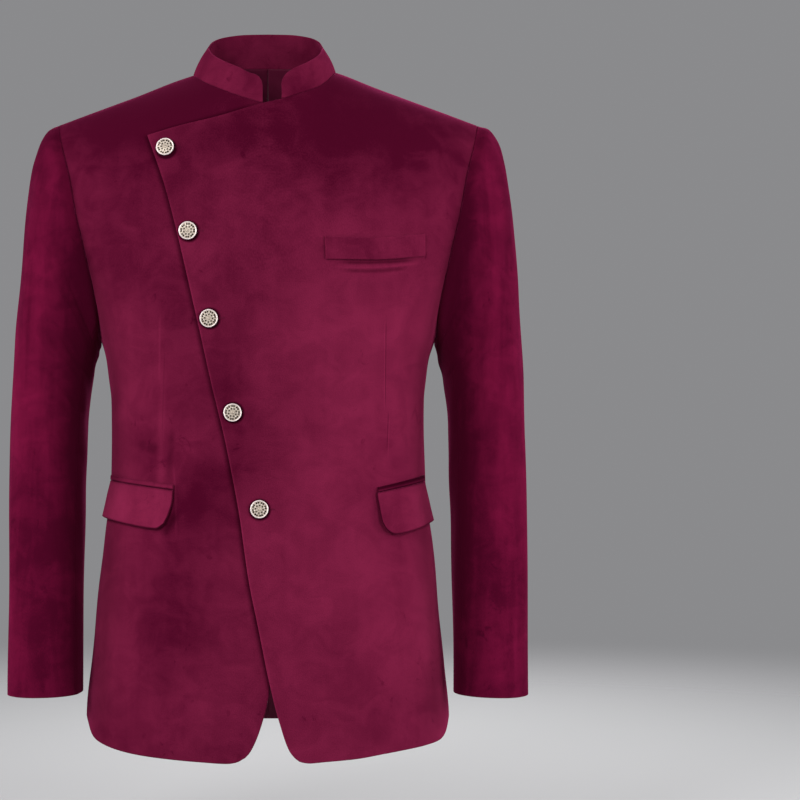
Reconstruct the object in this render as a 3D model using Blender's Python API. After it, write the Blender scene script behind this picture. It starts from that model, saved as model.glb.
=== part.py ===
"""Bandhgala jacket, hollow and filled out as if worn, with nobody in it.

+X is the wearer's left, -Y the front and +Z up. The origin lies between the two neck points, where the
shoulder seams meet the collar. Sizes are in millimetres until add_solid turns them into metres.
Left and right are the wearer's.
"""

import math

import bmesh
import bpy
import numpy as np
from mathutils import Vector

for old in list(bpy.data.objects):
    bpy.data.objects.remove(old, do_unlink=True)

# Cloth and seams
WALL = 2.2
SEAM_GAP = 0.3
LAP_GAP = 0.8
LAP_LIFT = WALL + LAP_GAP
LAY_GAP = 0.4
FLAP_STAND_OFF = 3.0

# Heights and lengths
NECK_HALF = 78.5
SHOULDER_X, SHOULDER_Z = 230.0, -53.5
CHEST_Z = -220.0
UNDERARM_Z = -290.0
SIDE_HEM_Z = -700.0
BUTTON_RADIUS = 9.6


def through(rows):
    """A smooth curve through the rows (place, value) that never overshoots them."""
    places, values = (np.array(column, float) for column in zip(*sorted(rows)))
    gaps = np.diff(places)
    steps = np.diff(values) / gaps
    slopes = np.zeros(len(places))
    slopes[0], slopes[-1] = steps[0], steps[-1]
    for i in range(1, len(places) - 1):
        if steps[i - 1] * steps[i] > 0:
            before, after = 2 * gaps[i] + gaps[i - 1], gaps[i] + 2 * gaps[i - 1]
            slopes[i] = (before + after) / (before / steps[i - 1] + after / steps[i])

    def value(place):
        place = np.clip(np.asarray(place, float), places[0], places[-1])
        i = np.clip(np.searchsorted(places, place) - 1, 0, len(gaps) - 1)
        t = (place - places[i]) / gaps[i]
        start = (1 + 2 * t) * (1 - t) ** 2 * values[i] + t * (1 - t) ** 2 * gaps[i] * slopes[i]
        end = t * t * (3 - 2 * t) * values[i + 1] - t * t * (1 - t) * gaps[i] * slopes[i + 1]
        return start + end

    return value


def unit(vectors):
    return vectors / np.linalg.norm(vectors, axis=-1, keepdims=True)


def ramp(value, start, end):
    """0 up to start, 1 from end, and smooth between."""
    t = np.clip((value - start) / (end - start), 0, 1)
    return t * t * (3 - 2 * t)


# The torso: one rounded ring at each height, closing over the shoulders.
# Columns: height, half the width
HALF_WIDTH = through((
    (-760, 200), (-700, 198.6), (-641, 193.1), (-597, 188.7), (-553, 184.8), (-509, 179.9),
    (-443, 172.2), (-399, 171.1), (-355, 171.6), (-333, 173.8), (-311, 176.6), (UNDERARM_Z, 183),
    (-250, 196), (-200, 215), (-150, 234), (-100, 246), (-55, 250), (60, 250),
))
# Columns: height, depth in front of the side seam
FRONT_DEPTH = through((
    (-760, 128), (-600, 125), (-500, 119), (-400, 115), (-300, 121), (CHEST_Z, 125), (60, 125),
))
# Columns: height, depth behind the side seam
BACK_DEPTH = through((
    (-760, 131), (-600, 125), (-500, 109), (-400, 96), (-300, 108), (CHEST_Z, 116), (60, 118),
))
SHOULDER_LINE = (
    (NECK_HALF, 1.5), (100, -5.5), (150, -24), (200, -42.3), (SHOULDER_X, SHOULDER_Z), (260, -64),
)
# Columns: distance from the centre, height of the shoulder line, and of the neck above it
TOP_FRONT = through(((0, 24), (30, 18.5), (55, 9.5), *SHOULDER_LINE))
TOP_BACK = through(((0, 61), (30, 52), (55, 33), (70, 14), *SHOULDER_LINE))
SQUARENESS = 2.4
RISE_ROUND, FILL_ROUND = 2.4, 1.7
REACH = 250.0
FIT_ROUNDS = 12


def torso(a, q):
    """Points of the cloth's outer face.

    a goes round: 0 centre front, 1 left side seam, 2 centre back, negative on the right.
    q goes down: 0 shoulder line, 1 chest, and then 1 more for each REACH.
    """
    a, q = np.broadcast_arrays(np.asarray(a, float), np.asarray(q, float))
    sideways, forward = np.sin(a * math.pi / 2), np.cos(a * math.pi / 2)
    across = np.sign(sideways) * np.abs(sideways) ** (2 / SQUARENESS)
    along = np.abs(forward) ** (2 / SQUARENESS)
    arc = np.clip(q, 0, 1) * math.pi / 2
    rise = np.clip(np.cos(arc), 0, 1) ** (2 / RISE_ROUND)
    fill = np.sin(arc) ** (2 / FILL_ROUND)
    below = np.maximum(q - 1, 0) * REACH
    x = SHOULDER_X * across
    for _ in range(FIT_ROUNDS):
        top = np.where(forward > 0, TOP_FRONT(np.abs(x)), TOP_BACK(np.abs(x)))
        z = CHEST_Z + (top - CHEST_Z) * rise - below
        x = HALF_WIDTH(z) * across
    y = np.where(forward > 0, -FRONT_DEPTH(z), BACK_DEPTH(z)) * along * fill
    return np.stack((x, y, z), -1)


def place(x, z, back=False, side=0):
    """(a, q) of the point of the torso that lies at x and z; at the back, side names the half."""
    x, z = np.broadcast_arrays(np.asarray(x, float), np.asarray(z, float))
    turn = np.arcsin(np.clip(np.abs(x) / HALF_WIDTH(z), 0, 1) ** (SQUARENESS / 2)) * 2 / math.pi
    half = side or np.sign(x)
    a = half * np.where(back, 2 - turn, turn)
    top = np.where(back, TOP_BACK(np.abs(x)), TOP_FRONT(np.abs(x)))
    drop = np.clip((top - z) / (top - CHEST_Z), 0, 1)
    upper = np.arccos((1 - drop) ** (RISE_ROUND / 2)) * 2 / math.pi
    q = np.where(z > CHEST_Z, upper, 1 + (CHEST_Z - z) / REACH)
    return np.stack((a, q), -1)


def outward(a, q):
    step = 1e-3
    high = np.maximum(q - step, 0)
    down = torso(a, high + 2 * step) - torso(a, high)
    along = torso(a + step, q) - torso(a - step, q)
    return unit(np.cross(down, along))


# Between these distances to the left of the centre, the left front comes down off the right one
LAP_END, LAP_CLEAR = 12.0, 60.0


def lap_lift(x):
    """How far the left front stands off the right one that it laps over."""
    return LAP_LIFT * (1 - ramp(x, LAP_END, LAP_CLEAR))


def no_lift(x):
    return np.zeros_like(x)


# Edges, as rows of (x, z) seen from the front
LINE_POINTS = 120


def path(rows):
    """Places on a smooth line through the rows."""
    rows = np.array(rows, float)
    run = np.concatenate(((0,), np.cumsum(np.linalg.norm(np.diff(rows, axis=0), axis=1))))
    at = np.linspace(0, run[-1], LINE_POINTS)
    return through(tuple(zip(run, rows[:, 0])))(at), through(tuple(zip(run, rows[:, 1])))(at)


def spaced(line, count):
    """count + 1 places (a, q), evenly spaced on the cloth, of a line of such places."""
    points = torso(line[:, 0], line[:, 1])
    run = np.concatenate(((0,), np.cumsum(np.linalg.norm(np.diff(points, axis=0), axis=1))))
    at = np.linspace(0, run[-1], count + 1)
    return np.stack((np.interp(at, run, line[:, 0]), np.interp(at, run, line[:, 1])), -1)


def edge(rows, count, back=False, side=0):
    return spaced(place(*path(rows), back=back, side=side), count)


def join(*lines):
    """Lines of places end to end, each meeting point kept once."""
    return np.concatenate([lines[0]] + [line[1:] for line in lines[1:]])


def patch(bottom, top, left, right):
    """The grid of places between four edges; rows run up and columns from left to right."""
    s = np.linspace(0, 1, len(bottom))[None, :, None]
    t = np.linspace(0, 1, len(left))[:, None, None]
    between = (1 - t) * bottom[None] + t * top[None] + (1 - s) * left[:, None] + s * right[:, None]
    corners = (1 - s) * ((1 - t) * bottom[0] + t * top[0]) + s * ((1 - t) * bottom[-1] + t * top[-1])
    return between - corners


# Counts of cloth facets
ARM_STEPS = 10
SIDE_STEPS = 17
SHOULDER_STEPS = 7
NECK_STEPS = 6
LAP_STEPS = 7
BACK_NECK_STEPS = 5
SLEEVE_ROWS = 16
COLLAR_ROWS = 3

# The armhole. Columns: height, distance from the centre of its front edge, and of its back edge
ARMHOLE = (
    (SHOULDER_Z, SHOULDER_X, SHOULDER_X), (-80, 223, 226.5), (-110, 214.5, 221), (-135, 209.5, 217),
    (-155, 206, 214), (-182, 199.5, 208), (-212, 193, 201), (-244, 186.5, 193), (-270, 183, 187),
    (UNDERARM_Z, 183, 183),
)
ARM_FRONT = through([(z, front) for z, front, _ in ARMHOLE])
ARM_BACK = through([(z, back) for z, _, back in ARMHOLE])


def armhole_places(turn, side):
    """Places round the armhole: turn 0 shoulder, a quarter front, a half underarm."""
    z = SHOULDER_Z + (UNDERARM_Z - SHOULDER_Z) * (1 - np.cos(turn)) / 2
    back = np.sin(turn) < 0
    x = np.where(back, ARM_BACK(z), ARM_FRONT(z))
    return place(side * x, z, back=back, side=side)


def armhole(turn, side):
    places = armhole_places(turn, side)
    return torso(places[..., 0], places[..., 1])


RING = np.arange(2 * ARM_STEPS + 1) * math.pi / ARM_STEPS

# The sleeve: a ring at each row, from the armhole to the cuff
# Columns: outer x and z, inner x and z, half its depth, middle y, share of the armhole's own shape
SLEEVE = (
    (230.0, -53.5, 183.0, -290.0, 62.0, -4, 1.00),
    (239.8, -58.0, 183.5, -296.5, 66.0, -4, 0.80),
    (249.7, -72.0, 185.0, -302.0, 68.0, -3, 0.58),
    (257.4, -96.5, 187.0, -309.0, 69.0, -2, 0.38),
    (263.5, -135.0, 189.8, -320.0, 69.5, -1, 0.20),
    (268.4, -179.0, 193.0, -335.0, 69.0, 0, 0.08),
    (273.4, -234.0, 195.8, -355.0, 68.0, 0, 0.00),
    (277.6, -289.0, 198.0, -382.5, 66.0, 0, 0.00),
    (280.5, -344.0, 198.7, -415.4, 63.5, -3, 0.00),
    (282.0, -410.0, 199.3, -453.7, 60.5, -10, 0.00),
    (282.3, -486.0, 200.4, -502.4, 57.0, -18, 0.00),
    (282.1, -570.0, 201.0, -575.0, 53.5, -28, 0.00),
    (281.7, -673.5, 200.8, -671.5, 50.0, -37, 0.00),
)
SLEEVE_COLUMNS = [through(list(enumerate(column))) for column in zip(*SLEEVE)]
SLEEVE_SQUARENESS = 2.2
FRONT_SEAM, BACK_SEAM = 8, 14


def oval(row, turn, side):
    out_x, out_z, in_x, in_z, depth, middle = (column(row) for column in SLEEVE_COLUMNS[:6])
    over, front = (
        np.sign(f(turn)) * np.abs(f(turn)) ** (2 / SLEEVE_SQUARENESS) for f in (np.cos, np.sin)
    )
    x = (out_x + in_x) / 2 + (out_x - in_x) / 2 * over
    z = (out_z + in_z) / 2 + (out_z - in_z) / 2 * over
    return np.stack((side * x, middle - depth * front, z), -1)


def sleeve(row, turn, side):
    """Points of the sleeve's outer face: row 0 is the armhole and the last one the cuff."""
    row, turn = np.broadcast_arrays(np.asarray(row, float), np.asarray(turn, float))
    share = SLEEVE_COLUMNS[6](row)[..., None]
    return oval(row, turn, side) + share * (armhole(turn, side) - oval(0 * row, turn, side))


def sleeve_outward(row, turn, side):
    step = 1e-3
    low = np.clip(row - step, 0, len(SLEEVE) - 1 - 2 * step)
    down = sleeve(low + 2 * step, turn, side) - sleeve(low, turn, side)
    along = sleeve(row, turn + step, side) - sleeve(row, turn - step, side)
    return side * unit(np.cross(along, down))


def mitre(own, other):
    """The way the wall goes at a seam: halfway where the pieces meet, its own where they turn back."""
    alike = np.sum(own * other, -1, keepdims=True)
    return unit(own + ramp(alike, 0, 0.5) * other)


# The neckline and the stand collar on it. Columns: distance from the centre, height
NECK_FRONT = (
    (0, -39.5), (15, -34.8), (30, -29.3), (48, -21), (67, -10), (NECK_HALF, 1.5),
)
NECK_BACK = ((0, 17.5), (30, 16.5), (55, 13), (70, 8), (NECK_HALF, 1.5))
RIM_FRONT = through(((0, -8), (17, -5), (33, 3), (55, 13), (70, 22), (NECK_HALF, 32)))
RIM_BACK = through(((0, 55), (25, 54), (50, 50), (70, 42), (NECK_HALF, 32)))
COLLAR_LEFT_X, COLLAR_RIGHT_X = 14.6, -5.7
RIM_IN, RIM_LEAN_FRONT, RIM_LEAN_BACK = 0.19, 0.10, 0.14
RIM_SHIFT = -3.0
COLLAR_BULGE = 1.5
CORNER_RUN, CORNER_DROP = 11.0, 0.42
CORNER_COLUMNS = np.array((0, 0.08, 0.2, 0.36, 0.55))


def neckline(start, end, count, back=False, side=1):
    """Places on half the neckline, between two distances from the centre."""
    height = through(NECK_BACK if back else NECK_FRONT)
    x = np.linspace(start, end, LINE_POINTS)
    return spaced(place(side * x, height(np.abs(x)), back=back, side=side), count)


def neck_part(places, lift, back):
    """Base and rim points of the collar over a stretch of the neckline."""
    normal = outward(places[:, 0], places[:, 1])
    base = torso(places[:, 0], places[:, 1])
    base = base + normal * lift(base[:, 0])[:, None]
    x, y = base[:, 0], base[:, 1]
    reach = np.abs(x) / NECK_HALF
    lean = RIM_LEAN_BACK if back else RIM_LEAN_FRONT
    height = (RIM_BACK if back else RIM_FRONT)(np.abs(x))
    rim_x = x * (1 - RIM_IN * reach**2) + RIM_SHIFT * reach**2
    rim = np.stack((rim_x, y * (1 - lean), height), -1)
    return base, rim, normal


LEFT_NECK = neckline(COLLAR_LEFT_X, NECK_HALF, NECK_STEPS)
RIGHT_NECK = neckline(-COLLAR_RIGHT_X, NECK_HALF, NECK_STEPS, side=-1)
BACK_NECK = {side: neckline(NECK_HALF, 0, BACK_NECK_STEPS, back=True, side=side) for side in (1, -1)}


def collar_ring():
    """Base, rim and wall direction at each point of the neckline, from the left end to the right."""
    parts = [
        neck_part(LEFT_NECK, lap_lift, False),
        neck_part(BACK_NECK[1], no_lift, True),
        neck_part(BACK_NECK[-1][::-1], no_lift, True),
        neck_part(RIGHT_NECK[::-1], no_lift, False),
    ]
    base, rim, normal = (join(*(part[i] for part in parts)) for i in range(3))
    out = unit(np.cross(np.gradient(base, axis=0), rim - base))
    return base, rim, out, mitre(normal, out)


COLLAR_BASE, COLLAR_RIM, COLLAR_OUT, COLLAR_MITRE = collar_ring()


# Finishes
def finish(name, colour, roughness, metallic=0.0, sheen=0.0):
    material = bpy.data.materials.new(name)
    material.use_nodes = True
    shader = material.node_tree.nodes["Principled BSDF"]
    shader.inputs["Base Color"].default_value = (*colour, 1)
    shader.inputs["Roughness"].default_value = roughness
    shader.inputs["Metallic"].default_value = metallic
    shader.inputs["Sheen Weight"].default_value = sheen
    return material


VELVET = finish("maroon_velvet", (0.130, 0.008, 0.036), 0.85, sheen=0.4)
METAL = finish("rose_silver_metal", (0.72, 0.58, 0.50), 0.28, metallic=1.0)


# Solids
def add_solid(name, points, faces, material):
    """One closed body from points in millimetres."""
    mesh = bpy.data.meshes.new(name)
    mesh.from_pydata((np.asarray(points) / 1000).tolist(), [], faces)
    shape = bmesh.new()
    shape.from_mesh(mesh)
    bmesh.ops.recalc_face_normals(shape, faces=shape.faces[:])
    shape.to_mesh(mesh)
    shape.free()
    mesh.materials.append(material)
    mesh.shade_smooth()
    solid = bpy.data.objects.new(name, mesh)
    bpy.context.scene.collection.objects.link(solid)
    return solid


def drawn_in(outer, inner):
    """Both faces of a piece with each edge drawn in by half a seam gap."""
    outer, inner = outer.copy(), inner.copy()
    first = outer.copy()
    for at_edge, beside in ((0, 1), (-1, -2)):
        shift = unit(first[beside] - first[at_edge]) * SEAM_GAP / 2
        outer[at_edge] += shift
        inner[at_edge] += shift
        shift = unit(first[:, beside] - first[:, at_edge]) * SEAM_GAP / 2
        outer[:, at_edge] += shift
        inner[:, at_edge] += shift
    return outer, inner


def cloth(name, outer, inner):
    """A wall of cloth between two grids of points, closed round its edges."""
    outer, inner = drawn_in(outer, inner)
    rows, columns = outer.shape[:2]
    count = rows * columns
    index = np.arange(count).reshape(rows, columns).tolist()
    faces = []
    for i in range(rows - 1):
        for j in range(columns - 1):
            quad = [index[i][j], index[i][j + 1], index[i + 1][j + 1], index[i + 1][j]]
            # Both faces are cut along the shorter diagonal of the outer one
            rising, falling = outer[i + 1, j + 1] - outer[i, j], outer[i + 1, j] - outer[i, j + 1]
            if np.linalg.norm(rising) > np.linalg.norm(falling):
                quad = quad[1:] + quad[:1]
            for triangle in (quad[:3], [quad[0], quad[2], quad[3]]):
                faces.append(triangle)
                faces.append([corner + count for corner in triangle[::-1]])
    sides = [row[-1] for row in index[1:]], [row[0] for row in index[-2:0:-1]]
    around = [*index[0], *sides[0], *index[-1][-2::-1], *sides[1]]
    points = np.concatenate((outer.reshape(-1, 3), inner.reshape(-1, 3)))
    for here, after in zip(around, around[1:] + around[:1]):
        # The edge face is cut from its lower outer corner, so the faces of two pieces at a seam match
        if points[here][2] < points[after][2]:
            faces += [[here, here + count, after + count], [here, after + count, after]]
        else:
            faces += [[here, here + count, after], [here + count, after + count, after]]
    return add_solid(name, points, faces, VELVET)


def on_torso(name, grid, lift=0.0, seam_walls=()):
    """A piece on the torso's form, lifted off it; seam_walls gives the wall's way at its seams."""
    a, q = grid[..., 0], grid[..., 1]
    normal = outward(a, q)
    outer = torso(a, q) + normal * np.broadcast_to(lift, a.shape)[..., None]
    walls = normal.copy()
    for rows, columns, ways in seam_walls:
        walls[rows, columns] = ways
    return cloth(name, outer, outer - walls * WALL)


# Seams that two pieces share, with the same points on both
def side_seam(side):
    """The side seam, from the hem up to the underarm."""
    z = np.array((SIDE_HEM_Z, UNDERARM_Z))
    return spaced(place(side * HALF_WIDTH(z), z), SIDE_STEPS)


def armhole_edge(side, back):
    """The body's edge of the armhole, from the underarm up to the shoulder."""
    turns = RING[ARM_STEPS:] if back else RING[ARM_STEPS::-1]
    return armhole_places(turns, side)


def armhole_walls(side, back):
    turns = RING[ARM_STEPS:] if back else RING[ARM_STEPS::-1]
    places = armhole_places(turns, side)
    return mitre(outward(places[:, 0], places[:, 1]), sleeve_outward(0, turns, side))


def shoulder_seam(side, back):
    """The shoulder seam, from the neck point out to the armhole."""
    x = np.linspace(NECK_HALF, SHOULDER_X, LINE_POINTS)
    return spaced(place(side * x, TOP_FRONT(x), back=back, side=side), SHOULDER_STEPS)


ROWS = SIDE_STEPS + ARM_STEPS
AT_ARMHOLE = slice(SIDE_STEPS, None)

# The left front laps over the right one. Rows run from the hem up, then along to the collar
OVER_EDGE = (
    (28, -730.5), (23, -724.3), (13, -697), (2.1, -655.1), (-10.5, -592.9), (-20.1, -546),
    (-30.4, -474.8), (-45.1, -398.2), (-60.2, -333.4), (-75.4, -265.7), (-94, -184.2),
    (-107.6, -132.4), (-128.3, -73.4),
)
OVER_TOP = (
    (-128.3, -73.4), (-95.9, -64.2), (-51.6, -54), (-5.7, -39.9),
    (COLLAR_LEFT_X, float(through(NECK_FRONT)(COLLAR_LEFT_X))),
)
OVER_HEM = (
    (28, -730.5), (34, -734.6), (44, -736.3), (60.8, -735.2), (95, -732.8), (123.5, -729),
    (151, -725.6), (171, -723.2), (184.8, -720.8), (191.8, -716), (198.6, SIDE_HEM_Z),
)
over = patch(
    bottom=edge(OVER_HEM, LAP_STEPS + NECK_STEPS + SHOULDER_STEPS),
    top=join(edge(OVER_TOP, LAP_STEPS), LEFT_NECK, shoulder_seam(1, False)),
    left=edge(OVER_EDGE, ROWS),
    right=join(side_seam(1), armhole_edge(1, False)),
)
on_torso("front_left", over, lap_lift(torso(over[..., 0], over[..., 1])[..., 0]), (
    (AT_ARMHOLE, -1, armhole_walls(1, False)),
    (-1, slice(LAP_STEPS, LAP_STEPS + NECK_STEPS + 1), COLLAR_MITRE[: NECK_STEPS + 1]),
))

# The right front runs on under the left one, as far as UNDER_EDGE
UNDER_TOP = (8, -41.5)
UNDER_EDGE = (
    (-24, -730.5), (-19.3, -725.5), (-13, -713.5), (-5.6, -692.5), (0, -669.5), (2, -655),
    (5, -610), (8, -500), UNDER_TOP,
)
UNDER_HEM = (
    (-198.6, SIDE_HEM_Z), (-192, -713.5), (-187.3, -718.8), (-180.2, -722.5), (-163, -727.3),
    (-136.5, -731.3), (-98.5, -734.1), (-71.4, -735.7), (-43.7, -737), (-33.5, -735.5), (-24, -730.5),
)
UNDER_STEPS = 2
under = patch(
    bottom=edge(UNDER_HEM, SHOULDER_STEPS + NECK_STEPS + UNDER_STEPS),
    top=join(
        shoulder_seam(-1, False)[::-1],
        RIGHT_NECK[::-1],
        edge(((COLLAR_RIGHT_X, float(through(NECK_FRONT)(-COLLAR_RIGHT_X))), UNDER_TOP), UNDER_STEPS),
    ),
    left=join(side_seam(-1), armhole_edge(-1, False)),
    right=edge(UNDER_EDGE, ROWS),
)
on_torso("front_right", under, 0.0, (
    (AT_ARMHOLE, 0, armhole_walls(-1, False)),
    (-1, slice(SHOULDER_STEPS, SHOULDER_STEPS + NECK_STEPS + 1), COLLAR_MITRE[-NECK_STEPS - 1 :]),
))

# Two back panels meet at the centre back seam
BACK_HEM = ((198.6, SIDE_HEM_Z), (192.4, -711), (170, -719), (120, -722), (0, -722))
for side, name in ((1, "back_left"), (-1, "back_right")):
    hem = [(side * x, z) for x, z in BACK_HEM]
    back = patch(
        bottom=edge(hem, SHOULDER_STEPS + BACK_NECK_STEPS, back=True, side=side),
        top=join(shoulder_seam(side, True)[::-1], BACK_NECK[side]),
        left=join(side_seam(side), armhole_edge(side, True)),
        right=edge((hem[-1], (0, NECK_BACK[0][1])), ROWS, back=True, side=side),
    )
    neck = COLLAR_MITRE[NECK_STEPS : -NECK_STEPS][:: side][: BACK_NECK_STEPS + 1]
    on_torso(name, back, 0.0, (
        (AT_ARMHOLE, 0, armhole_walls(side, True)),
        (-1, slice(SHOULDER_STEPS, None), neck),
    ))


# Sleeves, each of an outer and an inner piece
def sleeve_piece(name, side, first, last):
    rows = np.linspace(0, len(SLEEVE) - 1, SLEEVE_ROWS)[:, None]
    turns = np.arange(first, last + 1) * math.pi / ARM_STEPS
    outer = sleeve(rows, turns[None], side)
    outer[..., 0] += side * SEAM_GAP * (1 - np.cos(turns)) / 2
    walls = sleeve_outward(rows, turns[None], side)
    places = armhole_places(turns, side)
    walls[0] = mitre(walls[0], outward(places[:, 0], places[:, 1]))
    cloth(name, outer, outer - walls * WALL)


for side, name in ((1, "left"), (-1, "right")):
    sleeve_piece(f"topsleeve_{name}", side, BACK_SEAM - 2 * ARM_STEPS, FRONT_SEAM)
    sleeve_piece(f"undersleeve_{name}", side, FRONT_SEAM, BACK_SEAM)


# The collar, with more columns at its two rounded front corners
def collar():
    last = len(COLLAR_BASE) - 1
    columns = np.concatenate((CORNER_COLUMNS, np.arange(1, last), last - CORNER_COLUMNS[::-1]))
    base, rim, out, seam = (
        np.stack([np.interp(columns, np.arange(last + 1), part[:, i]) for i in range(3)], -1)
        for part in (COLLAR_BASE, COLLAR_RIM, COLLAR_OUT, COLLAR_MITRE)
    )
    run = np.concatenate(((0,), np.cumsum(np.linalg.norm(np.diff(base, axis=0), axis=1))))
    from_end = np.clip(np.minimum(run, run[-1] - run) / CORNER_RUN, 0, 1)
    full = 1 - CORNER_DROP * (1 - np.sqrt(1 - (1 - from_end) ** 2))
    v = np.linspace(0, 1, COLLAR_ROWS + 1)[:, None, None]
    outer = base + (rim - base) * v * full[:, None] + out * COLLAR_BULGE * 4 * v * (1 - v)
    walls = np.repeat(unit(out)[None], COLLAR_ROWS + 1, axis=0)
    walls[0] = unit(seam)
    cloth("collar", outer, outer - walls * WALL)


collar()


# Pocket pieces that lie on a front, with their outlines as seen from the front
def laid_on(name, bottom, top, left, right, columns, rows, stand_off=0.0):
    grid = patch(edge(bottom, columns), edge(top, columns), edge(left, rows), edge(right, rows))
    hang = np.linspace(1, 0, rows + 1)[:, None] ** 2
    on_torso(name, grid, SEAM_GAP + LAY_GAP + WALL + stand_off * hang)


laid_on(
    "breast_welt",
    bottom=((60.2, -207.1), (108.4, -207.1), (165.7, -202)),
    top=((59.4, -183.2), (99.4, -184.2), (165.5, -178.5)),
    left=((60.2, -207.1), (59.4, -183.2)),
    right=((165.7, -202), (165.5, -178.5)),
    columns=9, rows=2,
)
laid_on(
    "flap_right",
    bottom=((-176.6, -482.6), (-157.8, -486), (-134.5, -490.2), (-118.8, -491.8), (-110, -486)),
    top=((-168.8, -442.4), (-100.2, -448.8)),
    left=((-176.6, -482.6), (-173.5, -462), (-168.8, -442.4)),
    right=((-110, -486), (-106, -477), (-101.5, -460), (-100.2, -448.8)),
    columns=12, rows=3, stand_off=FLAP_STAND_OFF,
)
laid_on(
    "jet_right",
    bottom=((-168.9, -442), (-100.2, -448.4)),
    top=((-168.9, -436.6), (-100.2, -443.6)),
    left=((-168.9, -442), (-168.9, -436.6)),
    right=((-100.2, -448.4), (-100.2, -443.6)),
    columns=12, rows=1,
)
laid_on(
    "flap_left",
    bottom=((121.5, -485), (129.1, -493.5), (139, -497.3), (158, -494.5), (177.3, -488)),
    top=((115.6, -449.9), (169.6, -443.1)),
    left=((121.5, -485), (119, -470), (115.6, -449.9)),
    right=((177.3, -488), (174.5, -466), (169.6, -443.1)),
    columns=12, rows=3, stand_off=FLAP_STAND_OFF,
)
laid_on(
    "jet_left",
    bottom=((116.6, -449.5), (169.7, -442.7)),
    top=((116.6, -444.8), (169.7, -438.2)),
    left=((116.6, -449.5), (116.6, -444.8)),
    right=((169.7, -442.7), (169.7, -438.2)),
    columns=12, rows=1,
)

# Metal shank buttons along the slanting edge, top to bottom, as turned profiles
BUTTONS = ((-108.4, -88), (-83.6, -177.3), (-61.7, -268.8), (-36.9, -367.8), (-9.1, -469.9))
# Columns: distance from the axis, height over the cloth
BUTTON_PROFILE = (
    (0, 0), (3.2, 0), (3.2, 1.4), (7.5, 1.4), (BUTTON_RADIUS, 2.6), (BUTTON_RADIUS, 3.8),
    (8.6, 4.4), (7.7, 3.6), (2.3, 4.3), (0, 4.6),
)
BUTTON_SIDES = 16


def button_mesh():
    shape = bmesh.new()
    points = [shape.verts.new((r / 1000, 0, h / 1000)) for r, h in BUTTON_PROFILE]
    lines = [shape.edges.new(pair) for pair in zip(points, points[1:])]
    bmesh.ops.spin(shape, geom=points + lines, axis=(0, 0, 1), cent=(0, 0, 0),
                   angle=2 * math.pi, steps=BUTTON_SIDES, use_merge=True)
    bmesh.ops.remove_doubles(shape, verts=shape.verts[:], dist=1e-5)
    bmesh.ops.recalc_face_normals(shape, faces=shape.faces[:])
    mesh = bpy.data.meshes.new("button")
    shape.to_mesh(mesh)
    shape.free()
    mesh.materials.append(METAL)
    mesh.shade_smooth()
    return mesh


turned = button_mesh()
for number, (x, z) in enumerate(BUTTONS, 1):
    a, q = place(x, z)
    normal = Vector(outward(a, q))
    button = bpy.data.objects.new(f"button_{number}", turned)
    button.location = (Vector(torso(a, q)) + normal * (LAP_LIFT + SEAM_GAP)) / 1000
    button.rotation_mode = "QUATERNION"
    button.rotation_quaternion = normal.to_track_quat("Z", "Y")
    bpy.context.scene.collection.objects.link(button)
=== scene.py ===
"""Bandhgala jacket in maroon velvet, filled out as if worn, with nobody in it.

Left and right are the wearer's: +X is the left, -Y the front and +Z up. The cloth's shapes are worked
out in millimetres and become metres where a mesh is made.
"""

import math

import bmesh
import bpy
import numpy as np
from mathutils import Matrix, Vector


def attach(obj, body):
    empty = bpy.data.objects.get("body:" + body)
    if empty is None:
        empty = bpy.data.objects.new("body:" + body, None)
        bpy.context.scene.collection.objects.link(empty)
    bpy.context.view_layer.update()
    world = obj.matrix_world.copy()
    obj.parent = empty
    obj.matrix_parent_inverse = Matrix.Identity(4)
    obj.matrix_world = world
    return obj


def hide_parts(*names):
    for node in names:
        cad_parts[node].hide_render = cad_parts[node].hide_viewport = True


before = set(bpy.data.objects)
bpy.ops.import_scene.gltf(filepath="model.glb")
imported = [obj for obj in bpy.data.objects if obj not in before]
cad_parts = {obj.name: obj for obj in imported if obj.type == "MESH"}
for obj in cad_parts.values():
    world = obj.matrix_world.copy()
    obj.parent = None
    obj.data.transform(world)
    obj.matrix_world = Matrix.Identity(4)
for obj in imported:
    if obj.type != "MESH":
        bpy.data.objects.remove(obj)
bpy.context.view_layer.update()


# The under front. It is the wearer's right front panel, cut from velvet over a canvas, and it runs on
# under the other front to just past the middle. Its hem, like every edge, is turned and pressed.

# The velvet is a cotton pile cloth in deep maroon, cut with the pile running down. Wear brushes the
# pile this way and that into soft lighter and darker patches, and it glows where it turns away. Light
# and shade are also painted into its colour, between these two colours.
PILE_DARK = (0.060, 0.0020, 0.0142)
PILE_LIGHT = (0.200, 0.0142, 0.0520)
SLEEVE_LIGHT = (0.200, 0.0072, 0.0440)
# The near-black that painted shade blends the velvet towards, in shadows, creases and shaded edges
PAINTED_SHADE_COLOUR = (0.016, 0.0003, 0.0036)
GLOW_TINT = (0.75, 0.08, 0.27)


def feed(tree, node, inputs):
    """Sets a node's inputs, by name or number, or links them where a socket is given."""
    for key, value in inputs.items():
        if isinstance(value, bpy.types.NodeSocket):
            tree.links.new(value, node.inputs[key])
        else:
            node.inputs[key].default_value = value


def add(tree, kind, inputs=None, **settings):
    """A node of a tree, with its settings and its inputs."""
    made = tree.nodes.new(kind)
    for setting, value in settings.items():
        setattr(made, setting, value)
    feed(tree, made, inputs or {})
    return made


def node_group(name, takes, gives, kind="ShaderNodeTree"):
    """A group of nodes, what it is given and its inputs' identifiers. A socket is (name, type, value)."""
    group = bpy.data.node_groups.new(name, kind)
    identifiers = {}
    for way, sockets in (("OUTPUT", gives), ("INPUT", takes)):
        for label, what, *value in sockets:
            socket = group.interface.new_socket(label, in_out=way, socket_type="NodeSocket" + what)
            identifiers[label] = socket.identifier
            if value:
                socket.default_value = value[0]
    return group, add(group, "NodeGroupInput").outputs, identifiers


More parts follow.
